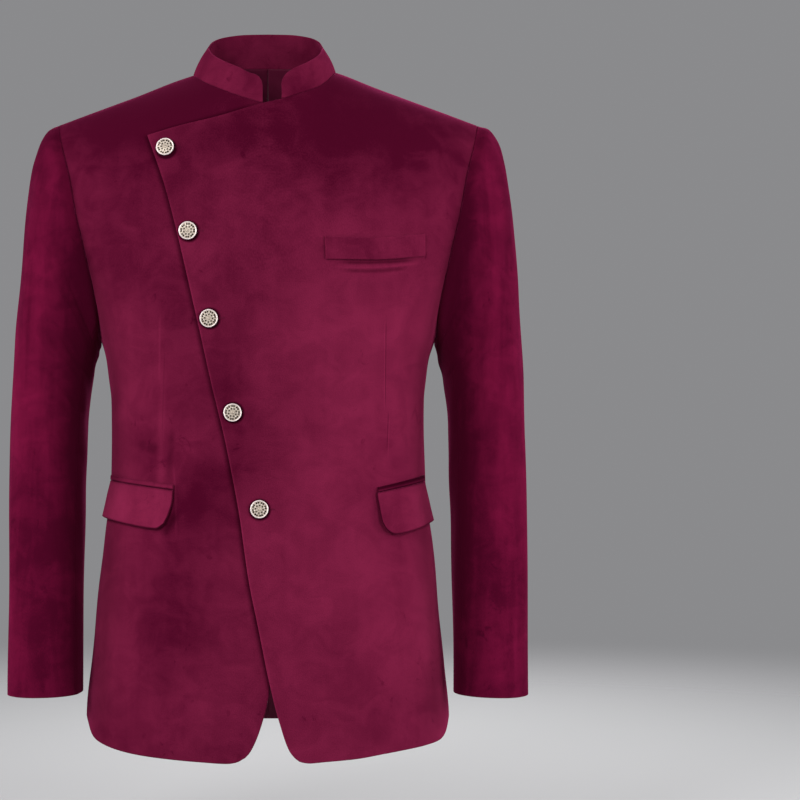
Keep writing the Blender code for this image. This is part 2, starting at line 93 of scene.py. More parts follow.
def arithmetic(tree, operation, first, second=0.0, third=0.0):
    return add(tree, "ShaderNodeMath", {0: first, 1: second, 2: third}, operation=operation).outputs[0]


def times(tree, first, second):
    return arithmetic(tree, "MULTIPLY", first, second)


def more(tree, base, value, strength):
    """A base, and a value at some strength on top of it."""
    return arithmetic(tree, "MULTIPLY_ADD", value, strength, base)


def length_of(tree, vector):
    return add(tree, "ShaderNodeVectorMath", {0: vector}, operation="LENGTH").outputs[1]


def spread(tree, value, low, high, to_low=0.0, to_high=1.0):
    """A value's range from low to high, made smooth from to_low to to_high."""
    inputs = {0: value, 1: low, 2: high, 3: to_low, 4: to_high}
    return add(tree, "ShaderNodeMapRange", inputs, interpolation_type="SMOOTHSTEP").outputs[0]


def fading(tree, value, low=0.0, high=1.0):
    """1 up to low, 0 from high, and smooth between."""
    return spread(tree, value, low, high, 1.0, 0.0)


def noise(tree, vector, scale, detail=2.0, roughness=0.5, distortion=0.0):
    return add(tree, "ShaderNodeTexNoise", {
        "Vector": vector, "Scale": scale, "Detail": detail, "Roughness": roughness, "Distortion": distortion,
    }).outputs[0]


def stretched(tree, vector, scale, location=(0.0, 0.0, 0.0)):
    return add(tree, "ShaderNodeMapping", {0: vector, 1: location, 3: scale}).outputs[0]


def blended(tree, share, first, second, **settings):
    inputs = {0: share, 6: first, 7: second}
    return add(tree, "ShaderNodeMix", inputs, data_type="RGBA", **settings).outputs[2]


def bumped(tree, strength, distance, height):
    inputs = {"Strength": strength, "Distance": distance, "Height": height}
    return add(tree, "ShaderNodeBump", inputs).outputs[0]


def new_finish(name):
    """A new material, its tree, its shader and the places on what it coats."""
    material = bpy.data.materials.new(name)
    material.use_nodes = True
    tree = material.node_tree
    return material, tree, tree.nodes["Principled BSDF"], add(tree, "ShaderNodeTexCoord").outputs


# Where the pile is brushed up, or painted with light, it goes on getting lighter beyond a share of 1
PILE_AND_PAINTED_LIGHT_CAP = 2.2


def pile_group():
    """How brushed velvet varies over the garment: its colour, and the height of its pile."""
    group, given, _ = node_group("brushed pile", (
        ("Place", "Vector"), ("Cloth", "Vector"), ("Lightness", "Float", 0.5), ("Patch Size", "Float", 1.0),
        ("Streaks", "Float", 0.04), ("Light", "Color", (*PILE_LIGHT, 1)),
    ), (("Color", "Color"), ("Height", "Float")))
    sized = {0: given["Place"], 3: given["Patch Size"]}
    place = add(group, "ShaderNodeVectorMath", sized, operation="SCALE").outputs[0]

    def pattern(stretch, details, low, high, shift=(0, 0, 0), to_low=-1.0):
        made = noise(group, stretched(group, place, stretch, shift), 1.0, *details)
        return spread(group, made, low, high, to_low, 1.0)

    # Patches of brushed pile, from hand-sized down to finger marks, and streaks that run down
    patches = pattern((8, 8, 8), (4.0, 0.5, 0.3), 0.34, 0.66)
    smudges = pattern((26, 26, 34), (4.0, 0.6, 0.8), 0.34, 0.66)
    streaks = pattern((48, 48, 6), (3.0, 0.6, 0.4), 0.32, 0.68)
    # A few short dark strokes where the pile has been crushed
    crushed = pattern((52, 52, 44), (5.0, 0.62, 1.8), 0.60, 0.72, (3, 7, 1), 0.0)
    where = pattern((9, 9, 9), (1.0,), 0.47, 0.60, (5, 2, 8), 0.0)
    # Single tufts, finer than a millimetre
    tufts = noise(group, stretched(group, given["Cloth"], (1400, 700, 1)), 1.0, 2.0, 0.6)
    share = given["Lightness"]
    for value, strength in (
        (patches, 0.12), (smudges, 0.09), (streaks, given["Streaks"]),
        (times(group, crushed, where), -0.30), (spread(group, tufts, 0.3, 0.7, -1.0, 1.0), 0.09),
    ):
        share = more(group, share, value, strength)
    share = add(group, "ShaderNodeClamp", {0: share, 2: PILE_AND_PAINTED_LIGHT_CAP}).outputs[0]
    colour = blended(group, share, (*PILE_DARK, 1), given["Light"], clamp_factor=False)
    height = more(group, times(group, patches, 0.12), tufts, 0.25)
    add(group, "NodeGroupOutput", {"Color": colour, "Height": height})
    return group


PILE = pile_group()


def zone(tree, place, centre, size):
    """1 at a place on the garment, and smoothly 0 at size metres from it; one size for each axis."""
    shift = tuple(-c / length for c, length in zip(centre, size))
    return fading(tree, length_of(tree, stretched(tree, place, tuple(1 / length for length in size), shift)))


def line_group():
    """A bowed line on the cloth: 1 along its middle, 0 beyond its width and its ends."""
    group, given, _ = node_group("bowed line", (
        ("Place", "Vector"), ("Middle", "Vector"), ("Angle", "Float"), ("Reach", "Float"),
        ("Width", "Float"), ("Bow", "Float"),
    ), (("Mask", "Float"),))
    away = add(group, "ShaderNodeVectorMath", {0: given["Place"], 1: given["Middle"]}, operation="SUBTRACT")
    turned_by = {0: away.outputs[0], "Angle": given["Angle"]}
    level = add(group, "ShaderNodeVectorRotate", turned_by, rotation_type="Y_AXIS")
    parts = add(group, "ShaderNodeSeparateXYZ", {0: level.outputs[0]}).outputs
    run = arithmetic(group, "DIVIDE", parts[0], given["Reach"])
    curve = more(group, -1.0, run, run)
    off = arithmetic(group, "SUBTRACT", parts[2], times(group, curve, given["Bow"]))
    off = arithmetic(group, "DIVIDE", arithmetic(group, "ABSOLUTE", off), given["Width"])
    ends = fading(group, arithmetic(group, "ABSOLUTE", run), 0.5)
    add(group, "NodeGroupOutput", {0: times(group, fading(group, off), ends)})
    return group


BOWED_LINE = line_group()


def placed_line(tree, place, x, z, angle, reach, width, bow):
    """A bowed line's mask. Its middle lies at x and z, and the angle is from level in degrees."""
    return add(tree, "ShaderNodeGroup", {
        "Place": place, "Middle": (x, 0.0, z), "Angle": math.radians(angle), "Reach": reach,
        "Width": width, "Bow": bow,
    }, node_tree=BOWED_LINE).outputs[0]


SHADOW_END = 0.004


def edge_shadow(tree, place, edge, reach):
    """1 up to an edge's line, given as places (x, z) from the foot up, and 0 at reach to its right."""
    low, high = edge[0][1], edge[-1][1]
    left, right = min(x for x, _ in edge), max(x for x, _ in edge)
    at = add(tree, "ShaderNodeSeparateXYZ", {0: place}).outputs
    up = arithmetic(tree, "DIVIDE", arithmetic(tree, "SUBTRACT", at[2], low), high - low)
    curve = add(tree, "ShaderNodeFloatCurve", {1: up})
    points = curve.mapping.curves[0].points
    rows = [((z - low) / (high - low), (x - left) / (right - left)) for x, z in edge]
    points[0].location, points[1].location = rows[0], rows[-1]
    for row in rows[1:-1]:
        points.new(*row)
    for point in points:
        point.handle_type = "VECTOR"
    curve.mapping.update()
    line = more(tree, left, curve.outputs[0], right - left)
    beside = fading(tree, arithmetic(tree, "SUBTRACT", line, at[0]), 0.0, reach)
    return times(tree, beside, fading(tree, at[2], high - SHADOW_END, high + SHADOW_END))


def velvet(name, lightness, zones, patch_size=1.0, streaks=0.04, lines=(), rim=0.0, dark_spots=(), shadow=None,
           light=PILE_LIGHT):
    """A velvet coloured lighter or darker in places, all in metres, partly by its brushed pile and partly
    by painted light and shade.

    zones are (strength, centre, size), lines (strength, x, z, angle, reach, width, bow) and pressed
    (strength, x, z, radius, width of its soft rim). Each piece's lightness and its zones lighten or
    darken the pile, partly as painted light and shade. rim is the strength along a piece's free edges:
    a painted highlight there, or painted shade where negative. pressed darkens the pile round points,
    and shadow (strength, line, reach) is a painted shadow beside another piece's edge. A negative line
    is a groove, bumped and painted in shade, and a positive one a ridge with a painted highlight.
    """
    material, tree, shader, coordinates = new_finish(name)
    place = coordinates["Object"]
    # The rim attribute marks the free edges; rim paints a highlight there, or painted shade where it is
    # negative
    edges = add(tree, "ShaderNodeAttribute", attribute_name="rim").outputs["Fac"]
    level = more(tree, lightness, edges, max(rim, 0.0))
    for strength, centre, size in zones:
        level = more(tree, level, zone(tree, place, centre, size), strength)
    shades = [(edges, max(-rim, 0.0))]
    ridge = 0.0
    for strength, *line in lines:
        mask = placed_line(tree, place, *line)
        if strength > 0:
            level = more(tree, level, mask, strength)
        else:
            shades.append((mask, -strength))
        ridge = more(tree, ridge, mask, strength)
    for strength, x, z, radius, soft in dark_spots:
        away = length_of(tree, stretched(tree, place, (1, 0, 1), (-x, 0, -z)))
        shades.append((fading(tree, away, radius, radius + soft), strength))
    if shadow:
        strength, edge_line, reach = shadow
        shades.append((edge_shadow(tree, place, edge_line, reach), strength))
    # The painted shades blend the pile towards the near-black of painted shade
    dark = 0.0
    for mask, strength in shades:
        dark = arithmetic(tree, "MAXIMUM", dark, times(tree, mask, strength))
    pile = add(tree, "ShaderNodeGroup", {
        "Place": place, "Cloth": coordinates["UV"], "Lightness": level, "Patch Size": patch_size,
        "Streaks": streaks, "Light": (*light, 1),
    }, node_tree=PILE).outputs
    feed(tree, shader, {
        "Base Color": blended(tree, dark, pile["Color"], (*PAINTED_SHADE_COLOUR, 1)),
        "Normal": bumped(tree, 0.5, 0.0012, more(tree, pile["Height"], ridge, 1.2)),
        "Roughness": 0.88, "Specular IOR Level": 0.0,
        "Sheen Weight": 0.34, "Sheen Roughness": 0.35, "Sheen Tint": (*GLOW_TINT, 1),
    })
    return material


def lining_satin():
    """The maroon satin that the coat is lined with, which shows inside the neck and the hem."""
    material, tree, shader, coordinates = new_finish("satin_lining")
    ripples = noise(tree, stretched(tree, coordinates["Object"], (14, 14, 5)), 1.0, 3.0, 0.5, 0.5)
    threads = add(tree, "ShaderNodeTexWave", {
        "Vector": coordinates["UV"], "Scale": 700.0, "Distortion": 0.8, "Detail": 1.0,
    }, bands_direction="DIAGONAL").outputs["Fac"]
    shade = more(tree, spread(tree, ripples, 0.3, 0.7, 0.0, 0.85), threads, 0.15)
    feed(tree, shader, {
        "Base Color": blended(tree, shade, (0.075, 0.0035, 0.020, 1), (0.135, 0.008, 0.038, 1)),
        "Normal": bumped(tree, 0.35, 0.004, more(tree, ripples, threads, 0.04)),
        "Roughness": 0.55, "Specular IOR Level": 0.15,
    })
    return material


LINING = lining_satin()


WALL = 2.2
LAP_GAP = 0.8
LAP_LIFT = WALL + LAP_GAP
NECK_HALF = 78.5
SHOULDER_X, SHOULDER_Z = 230.0, -53.5
CHEST_Z = -220.0
UNDERARM_Z = -290.0
SIDE_HEM_Z = -700.0


def through(rows):
    """A smooth curve through the rows (place, value) that never overshoots them."""
    places, values = (np.array(column, float) for column in zip(*sorted(rows)))
    gaps = np.diff(places)
    steps = np.diff(values) / gaps
    slopes = np.zeros(len(places))
    slopes[0], slopes[-1] = steps[0], steps[-1]
    for i in range(1, len(places) - 1):
        if steps[i - 1] * steps[i] > 0:
            before, after = 2 * gaps[i] + gaps[i - 1], gaps[i] + 2 * gaps[i - 1]
            slopes[i] = (before + after) / (before / steps[i - 1] + after / steps[i])

    def value(place):
        place = np.clip(np.asarray(place, float), places[0], places[-1])
        i = np.clip(np.searchsorted(places, place) - 1, 0, len(gaps) - 1)
        t = (place - places[i]) / gaps[i]
        start = (1 + 2 * t) * (1 - t) ** 2 * values[i] + t * (1 - t) ** 2 * gaps[i] * slopes[i]
        end = t * t * (3 - 2 * t) * values[i + 1] - t * t * (1 - t) * gaps[i] * slopes[i + 1]
        return start + end

    return value


def unit(vectors):
    return vectors / np.linalg.norm(vectors, axis=-1, keepdims=True)


def ramp(value, start, end):
    """0 up to start, 1 from end, and smooth between."""
    t = np.clip((value - start) / (end - start), 0, 1)
    return t * t * (3 - 2 * t)


# The body of a worn jacket: one rounded ring at each height, closing over the shoulders
# Columns: height, half the width
HALF_WIDTH = through((
    (-760, 200), (-700, 198.6), (-641, 193.1), (-597, 188.7), (-553, 184.8), (-509, 179.9),
    (-443, 172.2), (-399, 171.1), (-355, 171.6), (-333, 173.8), (-311, 176.6), (UNDERARM_Z, 183),
    (-250, 196), (-200, 215), (-150, 234), (-100, 246), (-55, 250), (60, 250),
))
# Columns: height, depth in front of the side seam
FRONT_DEPTH = through((
    (-760, 128), (-600, 125), (-500, 119), (-400, 115), (-300, 121), (CHEST_Z, 125), (60, 125),
))
# Columns: height, depth behind the side seam
BACK_DEPTH = through((
    (-760, 131), (-600, 125), (-500, 109), (-400, 96), (-300, 108), (CHEST_Z, 116), (60, 118),
))
SHOULDER_LINE = (
    (NECK_HALF, 1.5), (100, -5.5), (150, -24), (200, -42.3), (SHOULDER_X, SHOULDER_Z), (260, -64),
)
# Columns: distance from the centre, height of the shoulder line, and of the neck above it
TOP_FRONT = through(((0, 24), (30, 18.5), (55, 9.5), *SHOULDER_LINE))
TOP_BACK = through(((0, 61), (30, 52), (55, 33), (70, 14), *SHOULDER_LINE))
SQUARENESS = 2.4
RISE_ROUND, FILL_ROUND = 2.4, 1.7
REACH = 250.0
ROUND = 262.0
FIT_ROUNDS = 12


def plain_torso(a, q):
    """Points of the plain form that the cloth's outer face follows.

    a goes round: 0 centre front, 1 left side seam, 2 centre back, negative on the right.
    q goes down: 0 shoulder line, 1 chest, and then 1 more for each REACH.
    """
    a, q = np.broadcast_arrays(np.asarray(a, float), np.asarray(q, float))
    sideways, forward = np.sin(a * math.pi / 2), np.cos(a * math.pi / 2)
    across = np.sign(sideways) * np.abs(sideways) ** (2 / SQUARENESS)
    along = np.abs(forward) ** (2 / SQUARENESS)
    arc = np.clip(q, 0, 1) * math.pi / 2
    rise = np.clip(np.cos(arc), 0, 1) ** (2 / RISE_ROUND)
    fill = np.sin(arc) ** (2 / FILL_ROUND)
    below = np.maximum(q - 1, 0) * REACH
    x = SHOULDER_X * across
    for _ in range(FIT_ROUNDS):
        top = np.where(forward > 0, TOP_FRONT(np.abs(x)), TOP_BACK(np.abs(x)))
        z = CHEST_Z + (top - CHEST_Z) * rise - below
        x = HALF_WIDTH(z) * across
    y = np.where(forward > 0, -FRONT_DEPTH(z), BACK_DEPTH(z)) * along * fill
    return np.stack((x, y, z), -1)


# The jacket sits a little askew at the neck: both neck points lie to the right, the left one higher
NECK_LEAN, NECK_LEAN_END = -3.8, 150.0
NECK_RISE, RISE_AT, RISE_WITHIN, RISE_BEYOND = 3.2, 80.0, 14.0, 28.0
SETTLED_FROM, SETTLED_TO = -60.0, -5.0


def torso(a, q):
    """Points of the cloth's outer face, as the jacket sits."""
    points = plain_torso(a, q)
    x, z = points[..., 0], points[..., 2]
    share = ramp(z, SETTLED_FROM, SETTLED_TO)
    out = np.abs(x)
    beyond_neck = ramp(NECK_LEAN_END - out, 0, NECK_LEAN_END - NECK_HALF)
    lean = np.where(out < NECK_HALF, (out / NECK_HALF) ** 2, beyond_neck)
    width = np.where(x < RISE_AT, RISE_WITHIN, RISE_BEYOND)
    rise = np.exp(-(((x - RISE_AT) / width) ** 2))
    return points + np.stack((NECK_LEAN * lean * share, 0 * x, NECK_RISE * rise * share), -1)


def place(x, z, back=False, side=0):
    """(a, q) of the point of the torso that lies at x and z; at the back, side names the half."""
    x, z = np.broadcast_arrays(np.asarray(x, float), np.asarray(z, float))
    turn = np.arcsin(np.clip(np.abs(x) / HALF_WIDTH(z), 0, 1) ** (SQUARENESS / 2)) * 2 / math.pi
    half = side or np.sign(x)
    a = half * np.where(back, 2 - turn, turn)
    top = np.where(back, TOP_BACK(np.abs(x)), TOP_FRONT(np.abs(x)))
    drop = np.clip((top - z) / (top - CHEST_Z), 0, 1)
    upper = np.arccos((1 - drop) ** (RISE_ROUND / 2)) * 2 / math.pi
    q = np.where(z > CHEST_Z, upper, 1 + (CHEST_Z - z) / REACH)
    return np.stack((a, q), -1)


def apart(places):
    return places[..., 0], places[..., 1]


def outward(a, q):
    step = 1e-3
    high = np.maximum(q - step, 0)
    down = torso(a, high + 2 * step) - torso(a, high)
    along = torso(a + step, q) - torso(a - step, q)
    return unit(np.cross(down, along))


# Between these distances to the left of the centre, the left front comes down off the right one
LAP_END, LAP_CLEAR = 12.0, 60.0


def lap_lift(x):
    """How far the left front stands off the right one that it laps over."""
    return LAP_LIFT * (1 - ramp(x, LAP_END, LAP_CLEAR))


def no_lift(x):
    return np.zeros_like(x)


LINE_POINTS = 240


def run_along(points):
    """How far along a line each of its points lies."""
    return np.concatenate(((0,), np.cumsum(np.linalg.norm(np.diff(points, axis=0), axis=1))))


def path(rows):
    """Places on a smooth line through the rows."""
    rows = np.array(rows, float)
    run = run_along(rows)
    at = np.linspace(0, run[-1], LINE_POINTS)
    return through(tuple(zip(run, rows[:, 0])))(at), through(tuple(zip(run, rows[:, 1])))(at)


def spaced(line, count):
    """count + 1 places (a, q), evenly spaced on the cloth, of a line of such places."""
    run = run_along(torso(*apart(line)))
    at = np.linspace(0, run[-1], count + 1)
    return np.stack([np.interp(at, run, values) for values in apart(line)], -1)


def edge(rows, count, back=False, side=0):
    return spaced(place(*path(rows), back=back, side=side), count)


def join(*lines):
    """Lines of places end to end, each meeting point kept once."""
    return np.concatenate([lines[0]] + [line[1:] for line in lines[1:]])


def along_edge(line, share):
    """Values of an evenly spaced line at shares of its length."""
    steps = np.linspace(0, 1, len(line))
    return np.stack([np.interp(share, steps, line[:, i]) for i in range(line.shape[1])], -1)


# The rows of a panel fan out below its neck point: how far round, how wide, and how far down
FAN, FAN_ACROSS, FAN_DOWN, FAN_MIDDLE = 0.050, 14.0, 0.14, 0.7


def between_edges(bottom, top, left, right, fan=None):
    """Places on a panel with these four edges, at shares s from left to right and t up.

    fan is the neck point's column, the columns in all, and the way to its shoulder along s and round a.
    """
    def places(s, t):
        across, up = s[..., None], t[..., None]
        from_ends = (1 - up) * along_edge(bottom, s) + up * along_edge(top, s)
        from_sides = (1 - across) * along_edge(left, t) + across * along_edge(right, t)
        low = (1 - across) * bottom[0] + across * bottom[-1]
        high = (1 - across) * top[0] + across * top[-1]
        spot = from_ends + from_sides - (1 - up) * low - up * high
        if fan:
            column, columns, along, turn = fan
            off = (s * columns - column) * FINE_ACROSS / FAN_ACROSS - along * FAN_MIDDLE
            drop = (1 - t) / FAN_DOWN
            spot[..., 0] += turn * FAN * np.exp(-(off**2)) * drop * np.exp(1 - drop)
        return spot

    return places


# Steps of the seams, as the panels share them, and finer steps of cloth in each
ARM_STEPS, SIDE_STEPS, SHOULDER_STEPS = 10, 17, 7
NECK_STEPS, LAP_STEPS, BACK_NECK_STEPS, UNDER_STEPS = 6, 7, 5, 2
FINE_ACROSS, FINE_DOWN = 6, 8
ROWS = SIDE_STEPS + ARM_STEPS

# The armhole. Columns: height, distance from the centre of its front edge, and of its back edge
ARMHOLE = (
    (SHOULDER_Z, SHOULDER_X, SHOULDER_X), (-80, 223, 226.5), (-110, 214.5, 221), (-135, 209.5, 217),
    (-155, 206, 214), (-182, 199.5, 208), (-212, 193, 201), (-244, 186.5, 193), (-270, 183, 187),
    (UNDERARM_Z, 183, 183),
)
ARM_FRONT = through([(z, front) for z, front, _ in ARMHOLE])
ARM_BACK = through([(z, back) for z, _, back in ARMHOLE])


def armhole_places(turn, side):
    """Places round the armhole: turn 0 shoulder, a quarter front, a half underarm."""
    z = SHOULDER_Z + (UNDERARM_Z - SHOULDER_Z) * (1 - np.cos(turn)) / 2
    back = np.sin(turn) < 0
    x = np.where(back, ARM_BACK(z), ARM_FRONT(z))
    return place(side * x, z, back=back, side=side)


def armhole(turn, side):
    return torso(*apart(armhole_places(turn, side)))


# The sleeve: a ring at each row, from the armhole to the cuff
# Columns: outer x and z, inner x and z, half its depth, middle y, share of the armhole's own shape
SLEEVE = (
    (230.0, -53.5, 183.0, -290.0, 62.0, -4, 1.00),
    (239.8, -58.0, 183.5, -296.5, 66.0, -4, 0.80),
    (249.7, -72.0, 185.0, -302.0, 68.0, -3, 0.58),
    (257.4, -96.5, 187.0, -309.0, 69.0, -2, 0.38),
    (263.5, -135.0, 189.8, -320.0, 69.5, -1, 0.20),
    (268.4, -179.0, 193.0, -335.0, 69.0, 0, 0.08),
    (273.4, -234.0, 195.8, -355.0, 68.0, 0, 0.00),
    (277.6, -289.0, 198.0, -382.5, 66.0, 0, 0.00),
    (280.5, -344.0, 198.7, -415.4, 63.5, -3, 0.00),
    (282.0, -410.0, 199.3, -453.7, 60.5, -10, 0.00),
    (282.3, -486.0, 200.4, -502.4, 57.0, -18, 0.00),
    (282.1, -570.0, 201.0, -575.0, 53.5, -28, 0.00),
    (281.7, -673.5, 200.8, -671.5, 50.0, -37, 0.00),
)
SLEEVE_COLUMNS = [through(list(enumerate(column))) for column in zip(*SLEEVE)]
SLEEVE_SQUARENESS = 2.2


def oval(row, turn, side):
    out_x, out_z, in_x, in_z, depth, middle = (column(row) for column in SLEEVE_COLUMNS[:6])
    over, front = (
        np.sign(f(turn)) * np.abs(f(turn)) ** (2 / SLEEVE_SQUARENESS) for f in (np.cos, np.sin)
    )
    x = (out_x + in_x) / 2 + (out_x - in_x) / 2 * over
    z = (out_z + in_z) / 2 + (out_z - in_z) / 2 * over
    return np.stack((side * x, middle - depth * front, z), -1)


def sleeve(row, turn, side):
    """Points of the sleeve's outer face: row 0 is the armhole and the last one the cuff."""
    row, turn = np.broadcast_arrays(np.asarray(row, float), np.asarray(turn, float))
    share = SLEEVE_COLUMNS[6](row)[..., None]
    return oval(row, turn, side) + share * (armhole(turn, side) - oval(0 * row, turn, side))


def sleeve_outward(row, turn, side):
    row, turn = np.broadcast_arrays(np.asarray(row, float), np.asarray(turn, float))
    step = 1e-3
    low = np.clip(row - step, 0, len(SLEEVE) - 1 - 2 * step)
    down = sleeve(low + 2 * step, turn, side) - sleeve(low, turn, side)
    along = sleeve(row, turn + step, side) - sleeve(row, turn - step, side)
    return side * unit(np.cross(along, down))


def mitre(own, other):
    """The way both walls go at a seam: halfway, and shorter where the pieces turn back on each other."""
    both = own + other
    return both / np.maximum(np.linalg.norm(both, axis=-1, keepdims=True), 1.0)


# The neckline and the stand collar on it. Columns: distance from the centre, height
NECK_FRONT = (
    (0, -39.5), (15, -34.8), (30, -29.3), (48, -21), (67, -10), (NECK_HALF, 1.5),
)
NECK_BACK = ((0, 17.5), (30, 16.5), (55, 13), (70, 8), (NECK_HALF, 1.5))
RIM_FRONT = through(((0, -8), (17, -5), (33, 3), (55, 13), (70, 22), (NECK_HALF, 32)))
RIM_BACK = through(((0, 55), (25, 54), (50, 50), (70, 42), (NECK_HALF, 32)))
COLLAR_LEFT_X, COLLAR_RIGHT_X = 14.6, -5.7
RIM_IN, RIM_LEAN_FRONT, RIM_LEAN_BACK = 0.19, 0.10, 0.14
RIM_SHIFT = -3.0


def neckline(start, end, count, back=False, side=1):
    """Places on half the neckline, between two distances from the centre."""
    height = through(NECK_BACK if back else NECK_FRONT)
    x = np.linspace(start, end, LINE_POINTS)
    return spaced(place(side * x, height(np.abs(x)), back=back, side=side), count)


def neck_part(places, lift, back):
    """Base and rim points of the collar over a stretch of the neckline."""
    normal = outward(*apart(places))
    plain = plain_torso(*apart(places))
    stand = normal * lift(plain[:, 0])[:, None]
    base = torso(*apart(places)) + stand
    x, y = apart(plain + stand)
    reach = np.abs(x) / NECK_HALF
    lean = RIM_LEAN_BACK if back else RIM_LEAN_FRONT
    height = (RIM_BACK if back else RIM_FRONT)(np.abs(x))
    rim_x = x * (1 - RIM_IN * reach**2) + RIM_SHIFT * reach**2
    rim = np.stack((rim_x, y * (1 - lean), height), -1)
    return base, rim, normal


LEFT_NECK = neckline(COLLAR_LEFT_X, NECK_HALF, NECK_STEPS * FINE_ACROSS)
RIGHT_NECK = neckline(-COLLAR_RIGHT_X, NECK_HALF, NECK_STEPS * FINE_ACROSS, side=-1)
BACK_NECK = {
    side: neckline(NECK_HALF, 0, BACK_NECK_STEPS * FINE_ACROSS, back=True, side=side) for side in (1, -1)
}


def collar_ring():
    """Base, rim and wall direction at each point of the neckline, from the left end to the right."""
    parts = [
        neck_part(LEFT_NECK, lap_lift, False),
        neck_part(BACK_NECK[1], no_lift, True),
        neck_part(BACK_NECK[-1][::-1], no_lift, True),
        neck_part(RIGHT_NECK[::-1], no_lift, False),
    ]
    base, rim, normal = (join(*(part[i] for part in parts)) for i in range(3))
    out = unit(np.cross(np.gradient(base, axis=0), rim - base))
    return base, rim, out, mitre(normal, out)


COLLAR_BASE, COLLAR_RIM, COLLAR_OUT, COLLAR_MITRE = collar_ring()


# Soft folds that a worn jacket takes, each a trough or a ridge that fades at its ends
def folds(table, across, down):
    """Height over the cloth of a table's folds, at distances across and down in millimetres.

    Columns: across, down, angle from level in degrees, length, width, height, bow.
    """
    total = np.zeros(np.broadcast_shapes(across.shape, down.shape))
    for x, z, angle, length, width, height, bow in table:
        turn = math.radians(angle)
        dx, dz = across - x, down - z
        run = (dx * math.cos(turn) + dz * math.sin(turn)) / (length / 2)
        off = dz * math.cos(turn) - dx * math.sin(turn) - bow * (run**2 - 1)
        total = total + height * np.exp(-((off / width) ** 2)) * ramp(1 - np.abs(run), 0, 0.7)
    return total


FRONT_FOLDS = (
    # Bowed creases below the breast pocket
    (116, -207.2, 2.5, 84, 3.2, -1.5, 2.6), (116, -211.0, 3.5, 104, 2.8, 1.0, 3.6),
    (117, -215.6, 3, 62, 2.8, -0.9, 3.0), (112, -228, 3, 84, 6.0, 0.5, 3.0),
    # Drags from the waist and under the arms
    (120, -330, -38, 120, 10, -0.9, 4), (-120, -322, 40, 130, 11, -1.0, -4),
    (138, -372, -24, 90, 9, 0.7, 2), (-140, -366, 26, 96, 9, 0.8, -2),
    (70, -420, -12, 150, 14, -0.8, 5), (-90, -408, 14, 130, 13, -0.8, -5),
    # Long soft flutes of the skirt
    (95, -630, 84, 210, 22, 1.5, 6), (40, -600, 97, 230, 20, -1.0, -6),
    (150, -640, 80, 190, 18, -1.4, 4), (-70, -630, 95, 210, 22, 1.5, -6),
    (-120, -620, 98, 220, 19, -1.3, -5), (-160, -640, 100, 180, 16, 1.2, -4),
    # Light drags towards the buttons
    (-30, -250, 20, 110, 7, 0.5, 2), (-14, -355, 16, 120, 7, 0.6, 3),
    (30, -455, 10, 120, 8, 0.6, 4), (24, -478, -14, 110, 8, -0.6, 3),
    (-62, -160, 22, 90, 7, 0.4, 2), (40, -300, -30, 150, 12, -0.5, 5),
)
BACK_FOLDS = (
    (60, -395, -14, 150, 12, -1.3, 5), (-60, -402, 13, 150, 12, -1.3, -5),
    (75, -430, -10, 130, 10, 1.0, 4), (-72, -436, 11, 130, 10, 1.0, -4),
    (120, -345, -38, 130, 11, -1.2, 5), (-120, -350, 36, 130, 11, -1.2, -5),
    (110, -610, 84, 220, 22, 1.8, 6), (-110, -610, 96, 220, 22, 1.8, -6),
    (55, -630, 92, 200, 18, -1.3, -4), (-55, -630, 88, 200, 18, -1.3, 4),
    (155, -640, 82, 190, 17, -1.4, 4), (-155, -640, 98, 190, 17, -1.4, -4),
    (95, -170, -62, 120, 16, -0.9, 6), (-95, -170, 62, 120, 16, -0.9, -6),
)
# Middles of the buttons as seen from the front, top to bottom
BUTTONS = ((-108.4, -88), (-83.6, -177.3), (-61.7, -268.8), (-36.9, -367.8), (-9.1, -469.9))
BUTTON_DIMPLE, BUTTON_DIMPLE_REACH = 0.5, 15.0
# Columns: waves to the metre across and down, phase, height
UNEVEN = ((9.1, 3.7, 0.4, 0.34), (5.3, -7.9, 2.1, 0.30), (14.7, 6.1, 4.0, 0.16), (3.1, 11.3, 1.3, 0.18))


def unevenness(across, down):
    """The slight unevenness that no ironed cloth is without."""
    total = 0
    for round_waves, down_waves, phase, height in UNEVEN:
        waves = (across * round_waves + down * down_waves) / 1000
        total = total + height * np.sin(2 * math.pi * waves + phase)
    return total


# How the back bridges the hollow beside the neck: how far, and where
BRIDGE, BRIDGE_AT, BRIDGE_WIDTH, BRIDGE_FROM, BRIDGE_FULL = 5.0, 82.0, 20.0, -110, -20
# How far from the side seams, the armholes, the underarms and the neckline the folds are whole, and
# likewise below the shoulder line and beside the centre back seam
SIDE_FADE, ARM_FADE, UNDERARM_FADE, NECK_FADE = 0.12, 25, 20, 18
SHOULDER_FADE_FROM, SHOULDER_FADE, BACK_SEAM_FADE = 0.02, 0.2, 0.08


